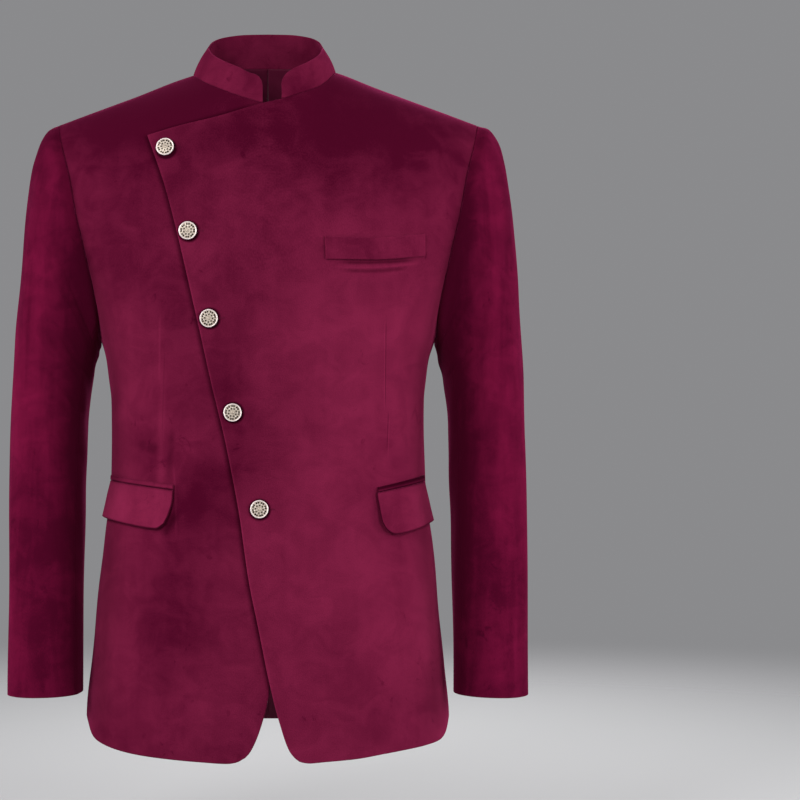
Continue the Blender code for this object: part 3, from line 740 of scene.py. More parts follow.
def drape(a, q):
    """How far the worn cloth stands off the plain form, by its folds; nothing at the upper seams."""
    points = torso(a, q)
    x, z = points[..., 0], points[..., 2]
    out = np.abs(x)
    front = np.abs(a) < 1
    bridge = BRIDGE * np.exp(-(((out - BRIDGE_AT) / BRIDGE_WIDTH) ** 2)) * ramp(z, BRIDGE_FROM, BRIDGE_FULL)
    fold = np.where(front, folds(FRONT_FOLDS, x, z), folds(BACK_FOLDS, x, z) + bridge)
    near_side = ramp(np.abs(np.abs(a) - 1), 0.0, SIDE_FADE)
    arm = np.where(front, ARM_FRONT(z), ARM_BACK(z)) - out
    off_arm = np.where(z > UNDERARM_Z - UNDERARM_FADE, ramp(arm, 0, ARM_FADE), 1.0)
    off_arm = np.maximum(off_arm, ramp(UNDERARM_Z - z, 0, UNDERARM_FADE))
    neck = np.where(front, through(NECK_FRONT)(out), through(NECK_BACK)(out))
    off_neck = np.maximum(ramp(neck - z, 0, NECK_FADE), ramp(out, NECK_HALF, NECK_HALF + NECK_FADE))
    off_seams = off_arm * off_neck * ramp(q, SHOULDER_FADE_FROM, SHOULDER_FADE)
    dimples = 0
    for button_x, button_z in BUTTONS:
        away = np.hypot(x - button_x, z - button_z) / BUTTON_DIMPLE_REACH
        dimples = dimples - BUTTON_DIMPLE * np.exp(-away**2) * front
    # The two backs lie level with each other at their seam
    uneven = unevenness(a * ROUND, q * REACH) * ramp(2 - np.abs(a), 0, BACK_SEAM_FADE)
    return off_seams * (fold * near_side + uneven + dimples)


# Each piece is a closed wall of cloth with rounded edges
ROLL = WALL / 2
ROLL_STEPS = np.array((0, 0.05, 0.18, 0.40, 0.70, 1.0))
ROLL_HEIGHT = np.sqrt(1 - (1 - ROLL_STEPS) ** 2)
SEAM_ROLL = 0.8
RIM_FADE = np.array((1, 1, 1, 1, 0.9, 0.6))
TINY = 1e-4


def in_scene(name, data):
    made = bpy.data.objects.new(name, data)
    bpy.context.scene.collection.objects.link(made)
    return made


def shell(name, form, columns, rows, finishes, rolls=(1, 1, 1, 1), free=(0, 0, 0, 0)):
    """A wall of cloth, with its face, its back and its rounded edges, as an object.

    form(s, t) gives the face's points, the way out of the wall and the flat cloth's own places, at
    shares s across and t up. rolls are for the left, right, bottom and top edges, and so is free, which
    says how strongly the velvet's rim is painted there, as a painted highlight or painted shade by its
    material; a function of the share along the edge does as well.
    """
    inner_s, inner_t = (np.linspace(0, 1, count + 1)[1:-1] for count in (columns, rows))
    ends = np.zeros(len(ROLL_STEPS)), np.ones(len(ROLL_STEPS))
    plain_s, plain_t = (np.concatenate((ends[0], inner, ends[1])) for inner in (inner_s, inner_t))

    def roll_in(roll, at, s_step, t_step):
        """Shares from an edge at which the rounding's steps lie, for each point along the edge."""
        s, t = (at + 0 * plain_t, plain_t) if s_step else (plain_s, at + 0 * plain_s)
        moved = form(s + s_step, t + t_step)[0] - form(s, t)[0]
        return np.outer(ROLL * ROLL_STEPS * roll, TINY / np.linalg.norm(moved, axis=-1))

    left = roll_in(rolls[0], 0, TINY, 0).T
    right = roll_in(rolls[1], 1, -TINY, 0)[::-1].T
    bottom = roll_in(rolls[2], 0, 0, TINY)
    top = roll_in(rolls[3], 1, 0, -TINY)[::-1]
    s = np.concatenate((left, np.tile(inner_s, (len(plain_t), 1)), 1 - right), axis=1)
    t = np.concatenate((bottom, np.tile(inner_t[:, None], (1, len(plain_s))), 1 - top), axis=0)
    face, way, flat = form(s, t)

    # The two sides share their outline, where the wall closes
    half_s, half_t = (
        np.concatenate((ROLL_HEIGHT, 0 * inner + 1, ROLL_HEIGHT[::-1])) for inner in (inner_s, inner_t)
    )
    half = (ROLL * half_t[:, None] * half_s)[..., None]
    middle = face - way * ROLL
    height, width = s.shape
    outer = np.arange(height * width).reshape(height, width)
    inner = outer.copy()
    inner[1:-1, 1:-1] = height * width + np.arange((height - 2) * (width - 2)).reshape(height - 2, -1)

    def two_sided(outside, inside):
        return np.concatenate([part.reshape(-1, part.shape[-1]) for part in (outside, inside[1:-1, 1:-1])])

    def quads(index):
        corners = index[:-1, :-1], index[:-1, 1:], index[1:, 1:], index[1:, :-1]
        return np.stack(corners, -1).reshape(-1, 4)

    faces = np.concatenate((quads(outer), quads(inner)[:, ::-1]))
    row, column = height // 2, width // 2
    here, beside, above = middle[row, column], middle[row, column + 1], middle[row + 1, column]
    if np.dot(np.cross(beside - here, above - here), way[row, column]) < 0:
        faces = faces[:, ::-1]

    points = two_sided(middle + way * half, middle - way * half) / 1000
    mesh = bpy.data.meshes.new(name)
    mesh.from_pydata(points.tolist(), [], faces.tolist())
    flats = two_sided(flat, flat)[faces.reshape(-1)] / 1000
    mesh.uv_layers.new(name="cloth").data.foreach_set("uv", flats.astype(np.float32).reshape(-1))
    # The rim value along the free edges, fading inward over the rounding: where the velvet is painted
    # lighter or darker
    left, right, bottom, top = (
        how if callable(how) else lambda share, how=how: how + 0 * share for how in free
    )
    across = np.pad(RIM_FADE, (0, width - len(RIM_FADE)))
    up = np.pad(RIM_FADE, (0, height - len(RIM_FADE)))[:, None]
    rim = np.max((left(t) * across, right(t) * across[::-1], bottom(s) * up, top(s) * up[::-1]), axis=0)
    rim = two_sided(rim[..., None], 0 * rim[..., None]).astype(np.float32)
    mesh.attributes.new("rim", "FLOAT", "POINT").data.foreach_set("value", rim.reshape(-1))
    for material in finishes:
        mesh.materials.append(material)
    mesh.polygons.foreach_set("material_index", np.repeat((0, len(finishes) - 1), len(faces) // 2))
    mesh.shade_smooth()
    piece = in_scene(name, mesh)

    # The cut is the flat cloth: its widest row, its longest column and its whole area
    along, upwards = np.diff(middle, axis=1), np.diff(middle, axis=0)
    area = np.linalg.norm(np.cross(along[:-1], upwards[:, :-1]), axis=-1).sum() / 1e6
    lengths = np.linalg.norm(along, axis=-1).sum(1), np.linalg.norm(upwards, axis=-1).sum(0)
    piece["cut"] = [float(length.max() / 1000) for length in lengths] + [float(area)]
    return piece


NARROWEST_CUT = 0.010


def sew_in(piece, node):
    """Puts a cloth piece in its solid's place, and reads the size it was cut to."""
    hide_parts(node)
    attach(piece, "root")
    width, length, area = piece["cut"]
    width, length = max(width, NARROWEST_CUT), max(length, NARROWEST_CUT)


SEAM_TURN, SEAM_FADE = 0.05, 0.6


def off_torso(a, q, lift):
    """Points that stand off the draped cloth, by a function of their x, and the way out there."""
    points, way = torso(a, q), outward(a, q)
    return points + way * (lift(points[..., 0]) + drape(a, q))[..., None], way


def flat_cloth(a, q):
    return np.stack((a * ROUND, -q * REACH), -1)


def on_torso(places, lift=no_lift, seams=()):
    """The form of a panel; each seam is (its way at s and t, how near a point is to it)."""
    def form(s, t):
        a, q = apart(places(s, t))
        face, way = off_torso(a, q, lift)
        for ways, nearness in seams:
            share = nearness(s, t)[..., None]
            way = way + share * (ways(s, t) - way)
        return face, way, flat_cloth(a, q)

    return form


def arm_turn(t, back):
    """The turn round the armhole at a share t up a panel's side."""
    up = np.clip((t * ROWS - SIDE_STEPS) / ARM_STEPS, 0, 1)
    return math.pi + up * math.pi if back else math.pi - up * math.pi


def arm_seam(side, back, at_left):
    def ways(s, t):
        turn = arm_turn(t, back)
        return mitre(outward(*apart(armhole_places(turn, side))), sleeve_outward(0, turn, side))

    def nearness(s, t):
        from_edge = s if at_left else 1 - s
        return ramp(1 - from_edge / SEAM_TURN, 0, 1) * ramp(t * ROWS, SIDE_STEPS - SEAM_FADE, SIDE_STEPS)

    return ways, nearness


def neck_seam(ring, first, last, columns):
    """The collar's seam, along the top edge between two of its columns."""
    def ways(s, t):
        return along_edge(ring, np.clip((s * columns - first) / (last - first), 0, 1))

    def nearness(s, t):
        beyond = np.maximum(first - s * columns, s * columns - last)
        return ramp(1 - (1 - t) / (SEAM_TURN / 2), 0, 1) * ramp(-beyond, -SEAM_FADE, 0)

    return ways, nearness


def side_seam(side):
    """The side seam, from the hem up to the underarm."""
    z = np.array((SIDE_HEM_Z, UNDERARM_Z))
    return spaced(place(side * HALF_WIDTH(z), z), SIDE_STEPS * FINE_DOWN)


def armhole_edge(side, back):
    """The body's edge of the armhole, from the underarm up to the shoulder."""
    turns = arm_turn(np.linspace(SIDE_STEPS / ROWS, 1, ARM_STEPS * FINE_DOWN + 1), back)
    return armhole_places(turns, side)


def shoulder_seam(side, back):
    """The shoulder seam, from the neck point out to the armhole."""
    x = np.linspace(NECK_HALF, SHOULDER_X, LINE_POINTS)
    return spaced(place(side * x, TOP_FRONT(x), back=back, side=side), SHOULDER_STEPS * FINE_ACROSS)


UNDER_TOP = (8, -41.5)
UNDER_EDGE = (
    (-24, -730.5), (-19.3, -725.5), (-13, -713.5), (-5.6, -692.5), (0, -669.5), (2, -655),
    (5, -610), (8, -500), UNDER_TOP,
)
UNDER_HEM = (
    (-198.6, SIDE_HEM_Z), (-192, -713.5), (-187.3, -718.8), (-180.2, -722.5), (-163, -727.3),
    (-136.5, -731.3), (-98.5, -734.1), (-71.4, -735.7), (-43.7, -737), (-33.5, -735.5), (-24, -730.5),
)
OVER_EDGE = (
    (28, -730.5), (23, -724.3), (13, -697), (2.1, -655.1), (-10.5, -592.9), (-20.1, -546),
    (-30.4, -474.8), (-45.1, -398.2), (-60.2, -333.4), (-75.4, -265.7), (-94, -184.2),
    (-107.6, -132.4), (-128.3, -73.4),
)
UNDER_VELVET = velvet("velvet_right_front", 0.36, (
    # Painted shade darkens the upper chest, and painted light brightens the side below the arm, where the
    # sleeve shades it; the other zones lighten or darken the pile, partly brushed and partly painted light
    (-0.55, (-0.10, -0.05, -0.02), (0.22, 0.30, 0.20)),
    (0.20, (-0.16, -0.09, -0.36), (0.09, 0.12, 0.22)),
    (-0.25, (-0.09, -0.11, -0.46), (0.07, 0.10, 0.10)),
    (0.20, (-0.05, -0.12, -0.66), (0.07, 0.10, 0.10)),
    (-0.12, (-0.12, -0.12, -0.60), (0.08, 0.10, 0.12)),
    (0.80, (-0.205, 0.00, -0.48), (0.060, 0.18, 0.36)),
    (1.10, (-0.200, -0.01, -0.295), (0.060, 0.12, 0.11)),
    (0.20, (-0.146, -0.09, -0.285), (0.050, 0.10, 0.07)),
    (-0.30, (-0.135, -0.10, -0.407), (0.050, 0.10, 0.05)),
    (0.40, (-0.110, -0.12, -0.434), (0.026, 0.05, 0.018)),
    (0.22, (-0.175, -0.08, -0.610), (0.050, 0.10, 0.12)),
), lines=(
    # The dart: a painted highlight along its fold, and a groove beside it, bumped and painted in shade
    (0.16, -0.1147, -0.300, 89, 0.045, 0.0022, 0.0), (0.20, -0.1135, -0.395, 88, 0.080, 0.0060, 0.0),
    (-0.16, -0.1110, -0.350, 88, 0.060, 0.0013, 0.0), (-0.30, -0.1035, -0.415, 86, 0.034, 0.0060, 0.0),
    # The pocket bag's edge shows through beside the flap as a painted highlight, with the flap's own shadow
    # painted within it
    (0.16, -0.0990, -0.462, 92, 0.045, 0.0022, 0.0012), (-0.45, -0.1035, -0.487, 62, 0.016, 0.0065, 0.0),
    # The shadow above the lap's top edge
    (-0.55, -0.0670, -0.0555, 15.3, 0.070, 0.0055, 0.0010),
# Two darker spots near the waist
), dark_spots=((0.30, -0.1235, -0.406, 0.002, 0.007), (0.22, -0.1335, -0.403, 0.001, 0.007)),
    shadow=(0.68, [(x / 1000, z / 1000) for x, z in OVER_EDGE], 0.0072))

UNDER_COLUMNS = SHOULDER_STEPS + NECK_STEPS + UNDER_STEPS
UNDER_NECK = (COLLAR_RIGHT_X, float(through(NECK_FRONT)(-COLLAR_RIGHT_X)))
under_places = between_edges(
    bottom=edge(UNDER_HEM, UNDER_COLUMNS * FINE_ACROSS),
    top=join(
        shoulder_seam(-1, False)[::-1], RIGHT_NECK[::-1],
        edge((UNDER_NECK, UNDER_TOP), UNDER_STEPS * FINE_ACROSS),
    ),
    left=join(side_seam(-1), armhole_edge(-1, False)),
    right=edge(UNDER_EDGE, ROWS * FINE_DOWN),
    fan=(SHOULDER_STEPS, UNDER_COLUMNS, -1, -1),
)
under_front = shell(
    "under_front",
    on_torso(under_places, seams=(
        arm_seam(-1, False, at_left=True),
        neck_seam(COLLAR_MITRE[-NECK_STEPS * FINE_ACROSS - 1 :], SHOULDER_STEPS,
                  SHOULDER_STEPS + NECK_STEPS, UNDER_COLUMNS),
    )),
    UNDER_COLUMNS * FINE_ACROSS, ROWS * FINE_DOWN, (UNDER_VELVET, LINING),
    rolls=(SEAM_ROLL, 1, 1, SEAM_ROLL),
)
sew_in(under_front, "front_right")


# The over front. It is the wearer's left front panel, which laps across the chest and closes along a
# slanting edge. That edge is turned to a crisp fold and stands a little off the panel below it.
OVER_TOP = (
    (-128.3, -73.4), (-95.9, -64.2), (-51.6, -54), (-5.7, -39.9),
    (COLLAR_LEFT_X, float(through(NECK_FRONT)(COLLAR_LEFT_X))),
)
OVER_HEM = (
    (28, -730.5), (34, -734.6), (44, -736.3), (60.8, -735.2), (95, -732.8), (123.5, -729),
    (151, -725.6), (171, -723.2), (184.8, -720.8), (191.8, -716), (198.6, SIDE_HEM_Z),
)
# A shadow is painted on the velvet round each button: how strongly, how far off its middle, how wide and how
# soft
BUTTON_SHADE, SHADE_ACROSS, SHADE_DOWN, SHADE_RADIUS, SHADE_SOFT = 0.88, 0.0004, 0.0005, 0.0100, 0.0030
OVER_VELVET = velvet("velvet_left_front", 0.48, (
    # Painted shade darkens the upper chest and the shoulder, and painted light brightens the side below the
    # arm, where the sleeve shades it; the other zones lighten or darken the pile, partly brushed and partly
    # painted light
    (-0.60, (0.06, -0.05, -0.01), (0.26, 0.30, 0.20)),
    (-0.24, (0.16, -0.06, -0.09), (0.10, 0.16, 0.12)),
    (0.28, (0.09, -0.12, -0.30), (0.14, 0.14, 0.16)),
    (0.12, (0.04, -0.12, -0.50), (0.12, 0.14, 0.12)),
    (0.08, (0.08, -0.12, -0.62), (0.14, 0.14, 0.12)),
    (-0.35, (-0.10, -0.11, -0.13), (0.07, 0.10, 0.09)),
    (-0.20, (-0.01, -0.12, -0.20), (0.07, 0.10, 0.09)),
    (-0.30, (-0.05, -0.12, -0.33), (0.05, 0.08, 0.14)),
    (-0.20, (-0.02, -0.12, -0.42), (0.07, 0.10, 0.08)),
    (1.10, (0.205, 0.00, -0.50), (0.086, 0.20, 0.36)),
    (0.90, (0.205, 0.00, -0.50), (0.052, 0.20, 0.36)),
    (1.10, (0.200, -0.01, -0.295), (0.060, 0.12, 0.11)),
    (0.26, (0.035, -0.12, -0.425), (0.070, 0.10, 0.07)),
    (0.12, (0.178, -0.08, -0.610), (0.045, 0.10, 0.12)),
    (0.50, (0.178, -0.05, -0.430), (0.032, 0.10, 0.07)),
    (0.12, (0.115, -0.12, -0.570), (0.060, 0.10, 0.07)),
    (0.12, (0.002, -0.12, -0.125), (0.070, 0.10, 0.06)),
), lines=(
    # The sag below the breast pocket and the crease under it, bumped and painted in shade, and a painted
    # highlight on the ridge between them
    (-0.62, 0.1160, -0.2072, 2.5, 0.050, 0.0034, 0.0026),
    (-0.50, 0.1150, -0.2060, 2.5, 0.048, 0.0026, 0.0016),
    (0.13, 0.1150, -0.2114, 3.5, 0.056, 0.0017, 0.0036),
    (-0.44, 0.1130, -0.2158, 3, 0.042, 0.0036, 0.0030),
    # The dart: a painted highlight along its fold, and a groove beside it, bumped and painted in shade
    (0.22, 0.1238, -0.318, 90, 0.056, 0.0010, 0.0), (-0.34, 0.1249, -0.316, 90, 0.056, 0.0009, 0.0),
    (0.16, 0.1285, -0.396, 88, 0.028, 0.0010, 0.0), (-0.30, 0.1274, -0.388, 88, 0.024, 0.0010, 0.0),
    # The shadow below the flap
    (-0.45, 0.1600, -0.4942, 14.8, 0.029, 0.0023, 0.0),
# A painted highlight runs along the slanting edge, and a painted shadow lies round each button
), rim=0.32, dark_spots=[
    (BUTTON_SHADE, x / 1000 + SHADE_ACROSS, z / 1000 - SHADE_DOWN, SHADE_RADIUS, SHADE_SOFT)
    for x, z in BUTTONS
])

# The painted highlight along the rim shows less towards the top of the slanting edge, and faintly along the
# lap's own top
LESS_RIM, LESS_FROM, LESS_FULL = 0.65, 0.78, 0.92
TOP_RIM, TOP_RIM_END = 0.5, 0.01
OVER_COLUMNS = LAP_STEPS + NECK_STEPS + SHOULDER_STEPS
over_places = between_edges(
    bottom=edge(OVER_HEM, OVER_COLUMNS * FINE_ACROSS),
    top=join(edge(OVER_TOP, LAP_STEPS * FINE_ACROSS), LEFT_NECK, shoulder_seam(1, False)),
    left=edge(OVER_EDGE, ROWS * FINE_DOWN),
    right=join(side_seam(1), armhole_edge(1, False)),
    fan=(LAP_STEPS + NECK_STEPS, OVER_COLUMNS, 1, 1),
)
over_front = shell(
    "over_front",
    on_torso(over_places, lap_lift, (
        arm_seam(1, False, at_left=False),
        neck_seam(COLLAR_MITRE[: NECK_STEPS * FINE_ACROSS + 1], LAP_STEPS, LAP_STEPS + NECK_STEPS,
                  OVER_COLUMNS),
    )),
    OVER_COLUMNS * FINE_ACROSS, ROWS * FINE_DOWN, (OVER_VELVET, LINING),
    rolls=(1, SEAM_ROLL, 1, SEAM_ROLL),
    free=(lambda share: 1 - LESS_RIM * ramp(share, LESS_FROM, LESS_FULL), 0, 0,
          lambda share: TOP_RIM * ramp(LAP_STEPS / OVER_COLUMNS - share, -TOP_RIM_END, TOP_RIM_END)),
)
sew_in(over_front, "front_left")


# The two backs. They are cut as a pair and joined by a seam down the middle of the back, which
# shapes the waist. The hem is turned like the fronts'.
BACK_HEM = ((198.6, SIDE_HEM_Z), (192.4, -711), (170, -719), (120, -722), (0, -722))
BACK_VELVET = velvet("velvet_back", 0.42, (
    # Painted shade darkens the top, and painted light brightens both sides below the arms, where the sleeves
    # shade them; the other zones lighten or darken the pile, partly brushed and partly painted light
    (-0.30, (0.0, 0.05, -0.02), (0.32, 0.30, 0.20)),
    (0.18, (0.08, 0.11, -0.28), (0.14, 0.14, 0.18)),
    (0.18, (-0.09, 0.11, -0.33), (0.12, 0.14, 0.16)),
    (-0.22, (0.05, 0.10, -0.45), (0.10, 0.12, 0.10)),
    (0.45, (0.205, 0.00, -0.50), (0.050, 0.16, 0.36)),
    (0.45, (-0.205, 0.00, -0.50), (0.050, 0.16, 0.36)),
# The centre back seam: a groove bumped and painted in shade, with a painted highlight beside it
), lines=((-0.55, 0.0, -0.352, 90, 0.60, 0.0012, 0.0), (0.20, 0.0026, -0.352, 90, 0.60, 0.0022, 0.0)))
BACK_COLUMNS = SHOULDER_STEPS + BACK_NECK_STEPS
for side, name in ((1, "left"), (-1, "right")):
    hem = [(side * x, z) for x, z in BACK_HEM]
    back_places = between_edges(
        bottom=edge(hem, BACK_COLUMNS * FINE_ACROSS, back=True, side=side),
        top=join(shoulder_seam(side, True)[::-1], BACK_NECK[side]),
        left=join(side_seam(side), armhole_edge(side, True)),
        right=edge((hem[-1], (0, NECK_BACK[0][1])), ROWS * FINE_DOWN, back=True, side=side),
        fan=(SHOULDER_STEPS, BACK_COLUMNS, -1, -side),
    )
    ring = COLLAR_MITRE[NECK_STEPS * FINE_ACROSS : -NECK_STEPS * FINE_ACROSS][::side]
    back_panel = shell(
        f"{name}_back",
        on_torso(back_places, seams=(
            arm_seam(side, True, at_left=True),
            neck_seam(ring[: BACK_NECK_STEPS * FINE_ACROSS + 1], SHOULDER_STEPS, BACK_COLUMNS, BACK_COLUMNS),
        )),
        BACK_COLUMNS * FINE_ACROSS, ROWS * FINE_DOWN, (BACK_VELVET, LINING),
        rolls=(SEAM_ROLL, SEAM_ROLL, 1, SEAM_ROLL),
    )
    sew_in(back_panel, f"back_{name}")


# The sleeves. Each is cut in two, a wide top piece over the outside of the arm and a narrow under
# piece, and is set into the armhole. They hang a little bent, so they crease softly at the elbow.
FRONT_SEAM, BACK_SEAM = 8, 14
SLEEVE_FINE, SLEEVE_ROWS = 6, 150
SLEEVE_ROUND, SLEEVE_DOWN = 62.0, 620.0
# The left sleeve stands out a little more over the upper arm: how far, and from where down to where
LEFT_EASE = 2.8
EASE_FROM, EASE_FULL, EASE_LESS, EASE_END = 10, 90, 260, 400
# Rows of the sleeve: where its folds start and are whole, and how far its seam tips its wall
FOLDS_FROM, FOLDS_WHOLE, SEAM_ROWS = 0.15, 1.6, 0.9
UNEVEN_APART, UNEVEN_DEPTH = 400, 30
# Across is the turn round the arm in degrees, nought outside and 90 in front; down is from the shoulder
SLEEVE_FOLDS = (
    (120, 150, 28, 90, 8, -1.1, 4), (100, 205, 22, 96, 9, 1.0, 5), (128, 262, 16, 84, 8, -1.5, 5),
    (110, 300, 10, 110, 8, 1.3, 6), (122, 338, -4, 100, 8, -1.7, 5), (104, 372, -10, 92, 8, 1.1, 5),
    (130, 410, -16, 80, 9, -1.1, 4), (60, 250, 78, 220, 12, 0.9, 5), (20, 320, 86, 260, 14, -0.9, -5),
    (75, 470, 82, 200, 12, -1.0, 4), (35, 520, 94, 190, 12, 1.0, -4), (-20, 430, 80, 230, 14, 1.0, 4),
    (250, 300, 12, 90, 9, -1.2, -4), (240, 345, -4, 96, 9, 1.1, 4), (-60, 300, 84, 240, 14, -0.9, 5),
    (10, 110, 88, 120, 14, -0.7, 3), (70, 95, 74, 110, 12, 0.7, 3),
)
SLEEVE_VELVET = velvet("velvet_sleeves", 0.28, (
    # Painted shade darkens the side of each sleeve next to the body, and painted light brightens the outer
    # side; the other zones lighten or darken the pile, partly brushed and partly painted light
    (-0.60, (0.190, -0.02, -0.40), (0.055, 0.22, 0.50)),
    (-0.60, (-0.190, -0.02, -0.40), (0.055, 0.22, 0.50)),
    (0.20, (0.300, -0.01, -0.36), (0.045, 0.22, 0.50)),
    (0.20, (-0.300, -0.01, -0.36), (0.045, 0.22, 0.50)),
    (0.08, (0.235, -0.05, -0.11), (0.060, 0.12, 0.10)),
    (-0.20, (-0.240, -0.03, -0.12), (0.050, 0.12, 0.09)),
    (0.14, (-0.232, -0.05, -0.26), (0.034, 0.12, 0.11)),
    (-0.14, (-0.242, -0.06, -0.53), (0.036, 0.12, 0.12)),
    (0.20, (-0.208, -0.06, -0.53), (0.026, 0.12, 0.12)),
), patch_size=1.2, streaks=0.10, light=SLEEVE_LIGHT, lines=(
    # The side next to the body lies in shade, painted into the pile's colour
    (-0.32, -0.203, -0.42, 90, 0.40, 0.034, 0.0), (-0.32, 0.203, -0.42, 90, 0.40, 0.034, 0.0),
))


def sleeve_form(side, first, last):
    def form(s, t):
        row = (1 - t) * (len(SLEEVE) - 1)
        turn = (first + s * (last - first)) * math.pi / ARM_STEPS
        way = sleeve_outward(row, turn, side)
        down = (1 - t) * SLEEVE_DOWN
        around = turn * SLEEVE_ROUND
        fold = unevenness(
            side * UNEVEN_APART + SLEEVE_ROUND * 2 * np.sin(turn), down + UNEVEN_DEPTH * np.cos(turn)
        )
        for whole_turn in (-360, 0, 360):
            fold = fold + folds([
                (math.radians(x + whole_turn) * SLEEVE_ROUND, -z, *rest) for x, z, *rest in SLEEVE_FOLDS
            ], around, -down)
        fold = fold * ramp(row, FOLDS_FROM, FOLDS_WHOLE)
        if side > 0:
            eased = ramp(down, EASE_FROM, EASE_FULL) * ramp(-down, -EASE_END, -EASE_LESS)
            fold = fold + LEFT_EASE * np.maximum(np.cos(turn), 0) * eased
        face = sleeve(row, turn, side) + way * fold[..., None]
        meeting = mitre(way, outward(*apart(armhole_places(turn, side))))
        near = ramp(1 - row / SEAM_ROWS, 0, 1)[..., None]
        way = way + near * (meeting - way)
        return face, way, np.stack((around, -down), -1)

    return form


for side, name in ((1, "left"), (-1, "right")):
    for kind, first, last in (
        ("topsleeve", BACK_SEAM - 2 * ARM_STEPS, FRONT_SEAM), ("undersleeve", FRONT_SEAM, BACK_SEAM),
    ):
        sleeve_piece = shell(
            f"{name}_{kind}", sleeve_form(side, first, last), (last - first) * SLEEVE_FINE, SLEEVE_ROWS,
            (SLEEVE_VELVET, LINING), rolls=(SEAM_ROLL, SEAM_ROLL, 1, SEAM_ROLL),
        )
        sew_in(sleeve_piece, f"{kind}_{name}")


# The stand collar. It is a stiffened band of velvet on both faces, sewn round the neck. Its two ends
# are rounded and stop short of each other in front.
COLLAR_BULGE, COLLAR_UNEVEN, COLLAR_WAVE = 1.5, 0.25, 31
COLLAR_HEIGHT, COLLAR_SEAM, END_CROWDING = 40, 0.12, 0.09
CORNER_RUN, CORNER_DROP = 11.0, 0.42
COLLAR_COLUMNS, COLLAR_ROWS = 190, 24
COLLAR_VELVET = velvet("velvet_collar", 0.46, (
    # Darker at the back and towards the two front ends, with a painted highlight along the ends and the top
    # edge
    (-0.16, (0.0, 0.02, 0.02), (0.09, 0.14, 0.05)),
    (-0.30, (0.032, -0.07, -0.015), (0.042, 0.07, 0.050)),
    (-0.14, (-0.026, -0.07, -0.020), (0.026, 0.06, 0.040)),
), patch_size=1.3, rim=0.12)
COLLAR_RUN = run_along(COLLAR_BASE)


def collar_form(s, t):
    # The columns crowd towards the two ends, where the band is rounded
    s = s - np.sin(2 * math.pi * s) * END_CROWDING
    base, rim, out, seam = (
        along_edge(part, s) for part in (COLLAR_BASE, COLLAR_RIM, COLLAR_OUT, COLLAR_MITRE)
    )
    run = along_edge(COLLAR_RUN[:, None], s)[..., 0]
    from_end = np.clip(np.minimum(run, COLLAR_RUN[-1] - run) / CORNER_RUN, 0, 1)
    full = 1 - CORNER_DROP * (1 - np.sqrt(1 - (1 - from_end) ** 2))
    up = t[..., None]
    bulge = COLLAR_BULGE * 4 * up * (1 - up) + COLLAR_UNEVEN * np.sin(run / COLLAR_WAVE)[..., None] * up
    face = base + (rim - base) * up * full[..., None] + out * bulge
    turned = ramp(1 - t / COLLAR_SEAM, 0, 1)[..., None]
    way = unit(unit(out) * (1 - turned) + unit(seam) * turned)
    return face, way, np.stack((run, t * COLLAR_HEIGHT), -1)


stand_collar = shell(
    "stand_collar", collar_form, COLLAR_COLUMNS, COLLAR_ROWS, (COLLAR_VELVET,),
    rolls=(1, 1, SEAM_ROLL, 1), free=(1, 1, 0, 1),
)
sew_in(stand_collar, "collar")


# The breast pocket's welt. It is a folded strip of velvet that slants up towards the arm, sewn along
# its foot and caught down at its two ends.
LAY_GAP, SEAM_GAP = 0.4, 0.3
CURL_RUN, CURL_START = 3.1, 0.4
# The tufts of a laid piece don't line up with those of the front below it
TUFT_SHIFT = (3, 5)
WELT_VELVET = velvet("velvet_welt", 0.46, (
    # A painted highlight at the left end and along the free edges
    (0.16, (0.070, -0.12, -0.20), (0.020, 0.05, 0.03)),
), patch_size=1.4, rim=0.16)


def laid_on(name, node, finish, outline, columns, rows, free, stand_off=0.0, curl=0.0):
    """Makes a pocket piece that lies on a front, from its foot, its top and, if bent, its two sides."""
    foot, top, *sides = outline
    left, right = sides or ((foot[0], top[0]), (foot[-1], top[-1]))
    places = between_edges(edge(foot, columns), edge(top, columns), edge(left, rows), edge(right, rows))

    def form(s, t):
        a, q = apart(places(s, t))
        hang = (1 - t) ** 2
        lift = SEAM_GAP + LAY_GAP + WALL + stand_off * hang + curl * hang * np.sin(CURL_RUN * s + CURL_START)
        face, way = off_torso(a, q, lambda x: lift)
        return face, way, flat_cloth(a, q) + TUFT_SHIFT

    piece = shell(name, form, columns, rows, (finish, LINING), free=free)
    sew_in(piece, node)


laid_on("breast_pocket_welt", "breast_welt", WELT_VELVET, (
    ((60.2, -207.1), (108.4, -207.1), (165.7, -202)),
    ((59.4, -183.2), (99.4, -184.2), (165.5, -178.5)),
), columns=54, rows=12, free=(1, 0.6, 0.5, 0.3))


# The hip pockets. Each has a flap with a rounded front corner, sewn in below a narrow jet of doubled
# velvet, and the flap's free edge lifts a little off the coat.
FLAP_STAND_OFF, FLAP_CURL = 3.0, 0.5
FLAP_VELVET = velvet("velvet_flaps", 0.64, (
    # Painted light brightens the flaps' outer ends, where the arms shade them, the left flap is darker
    # towards its front and the right one lighter, and painted shade runs along their edges
    (-0.20, (0.135, -0.10, -0.47), (0.05, 0.10, 0.05)),
    (0.90, (0.180, -0.05, -0.465), (0.045, 0.10, 0.06)),
    (0.90, (-0.180, -0.05, -0.465), (0.045, 0.10, 0.06)),
    (0.12, (-0.135, -0.10, -0.465), (0.06, 0.10, 0.04)),
), patch_size=1.4, rim=-0.75)
JET_VELVET = velvet("velvet_jets", 0.58, (
    # Painted shade darkens the left jet, and runs along the jets' edges
    (-0.58, (0.145, -0.10, -0.445), (0.06, 0.10, 0.05)),
), patch_size=1.4, rim=-0.85, lines=(
    # A painted shadow along the upper edge of the left jet
    (-0.85, 0.1430, -0.4436, 12.1, 0.060, 0.0036, 0.0),
))
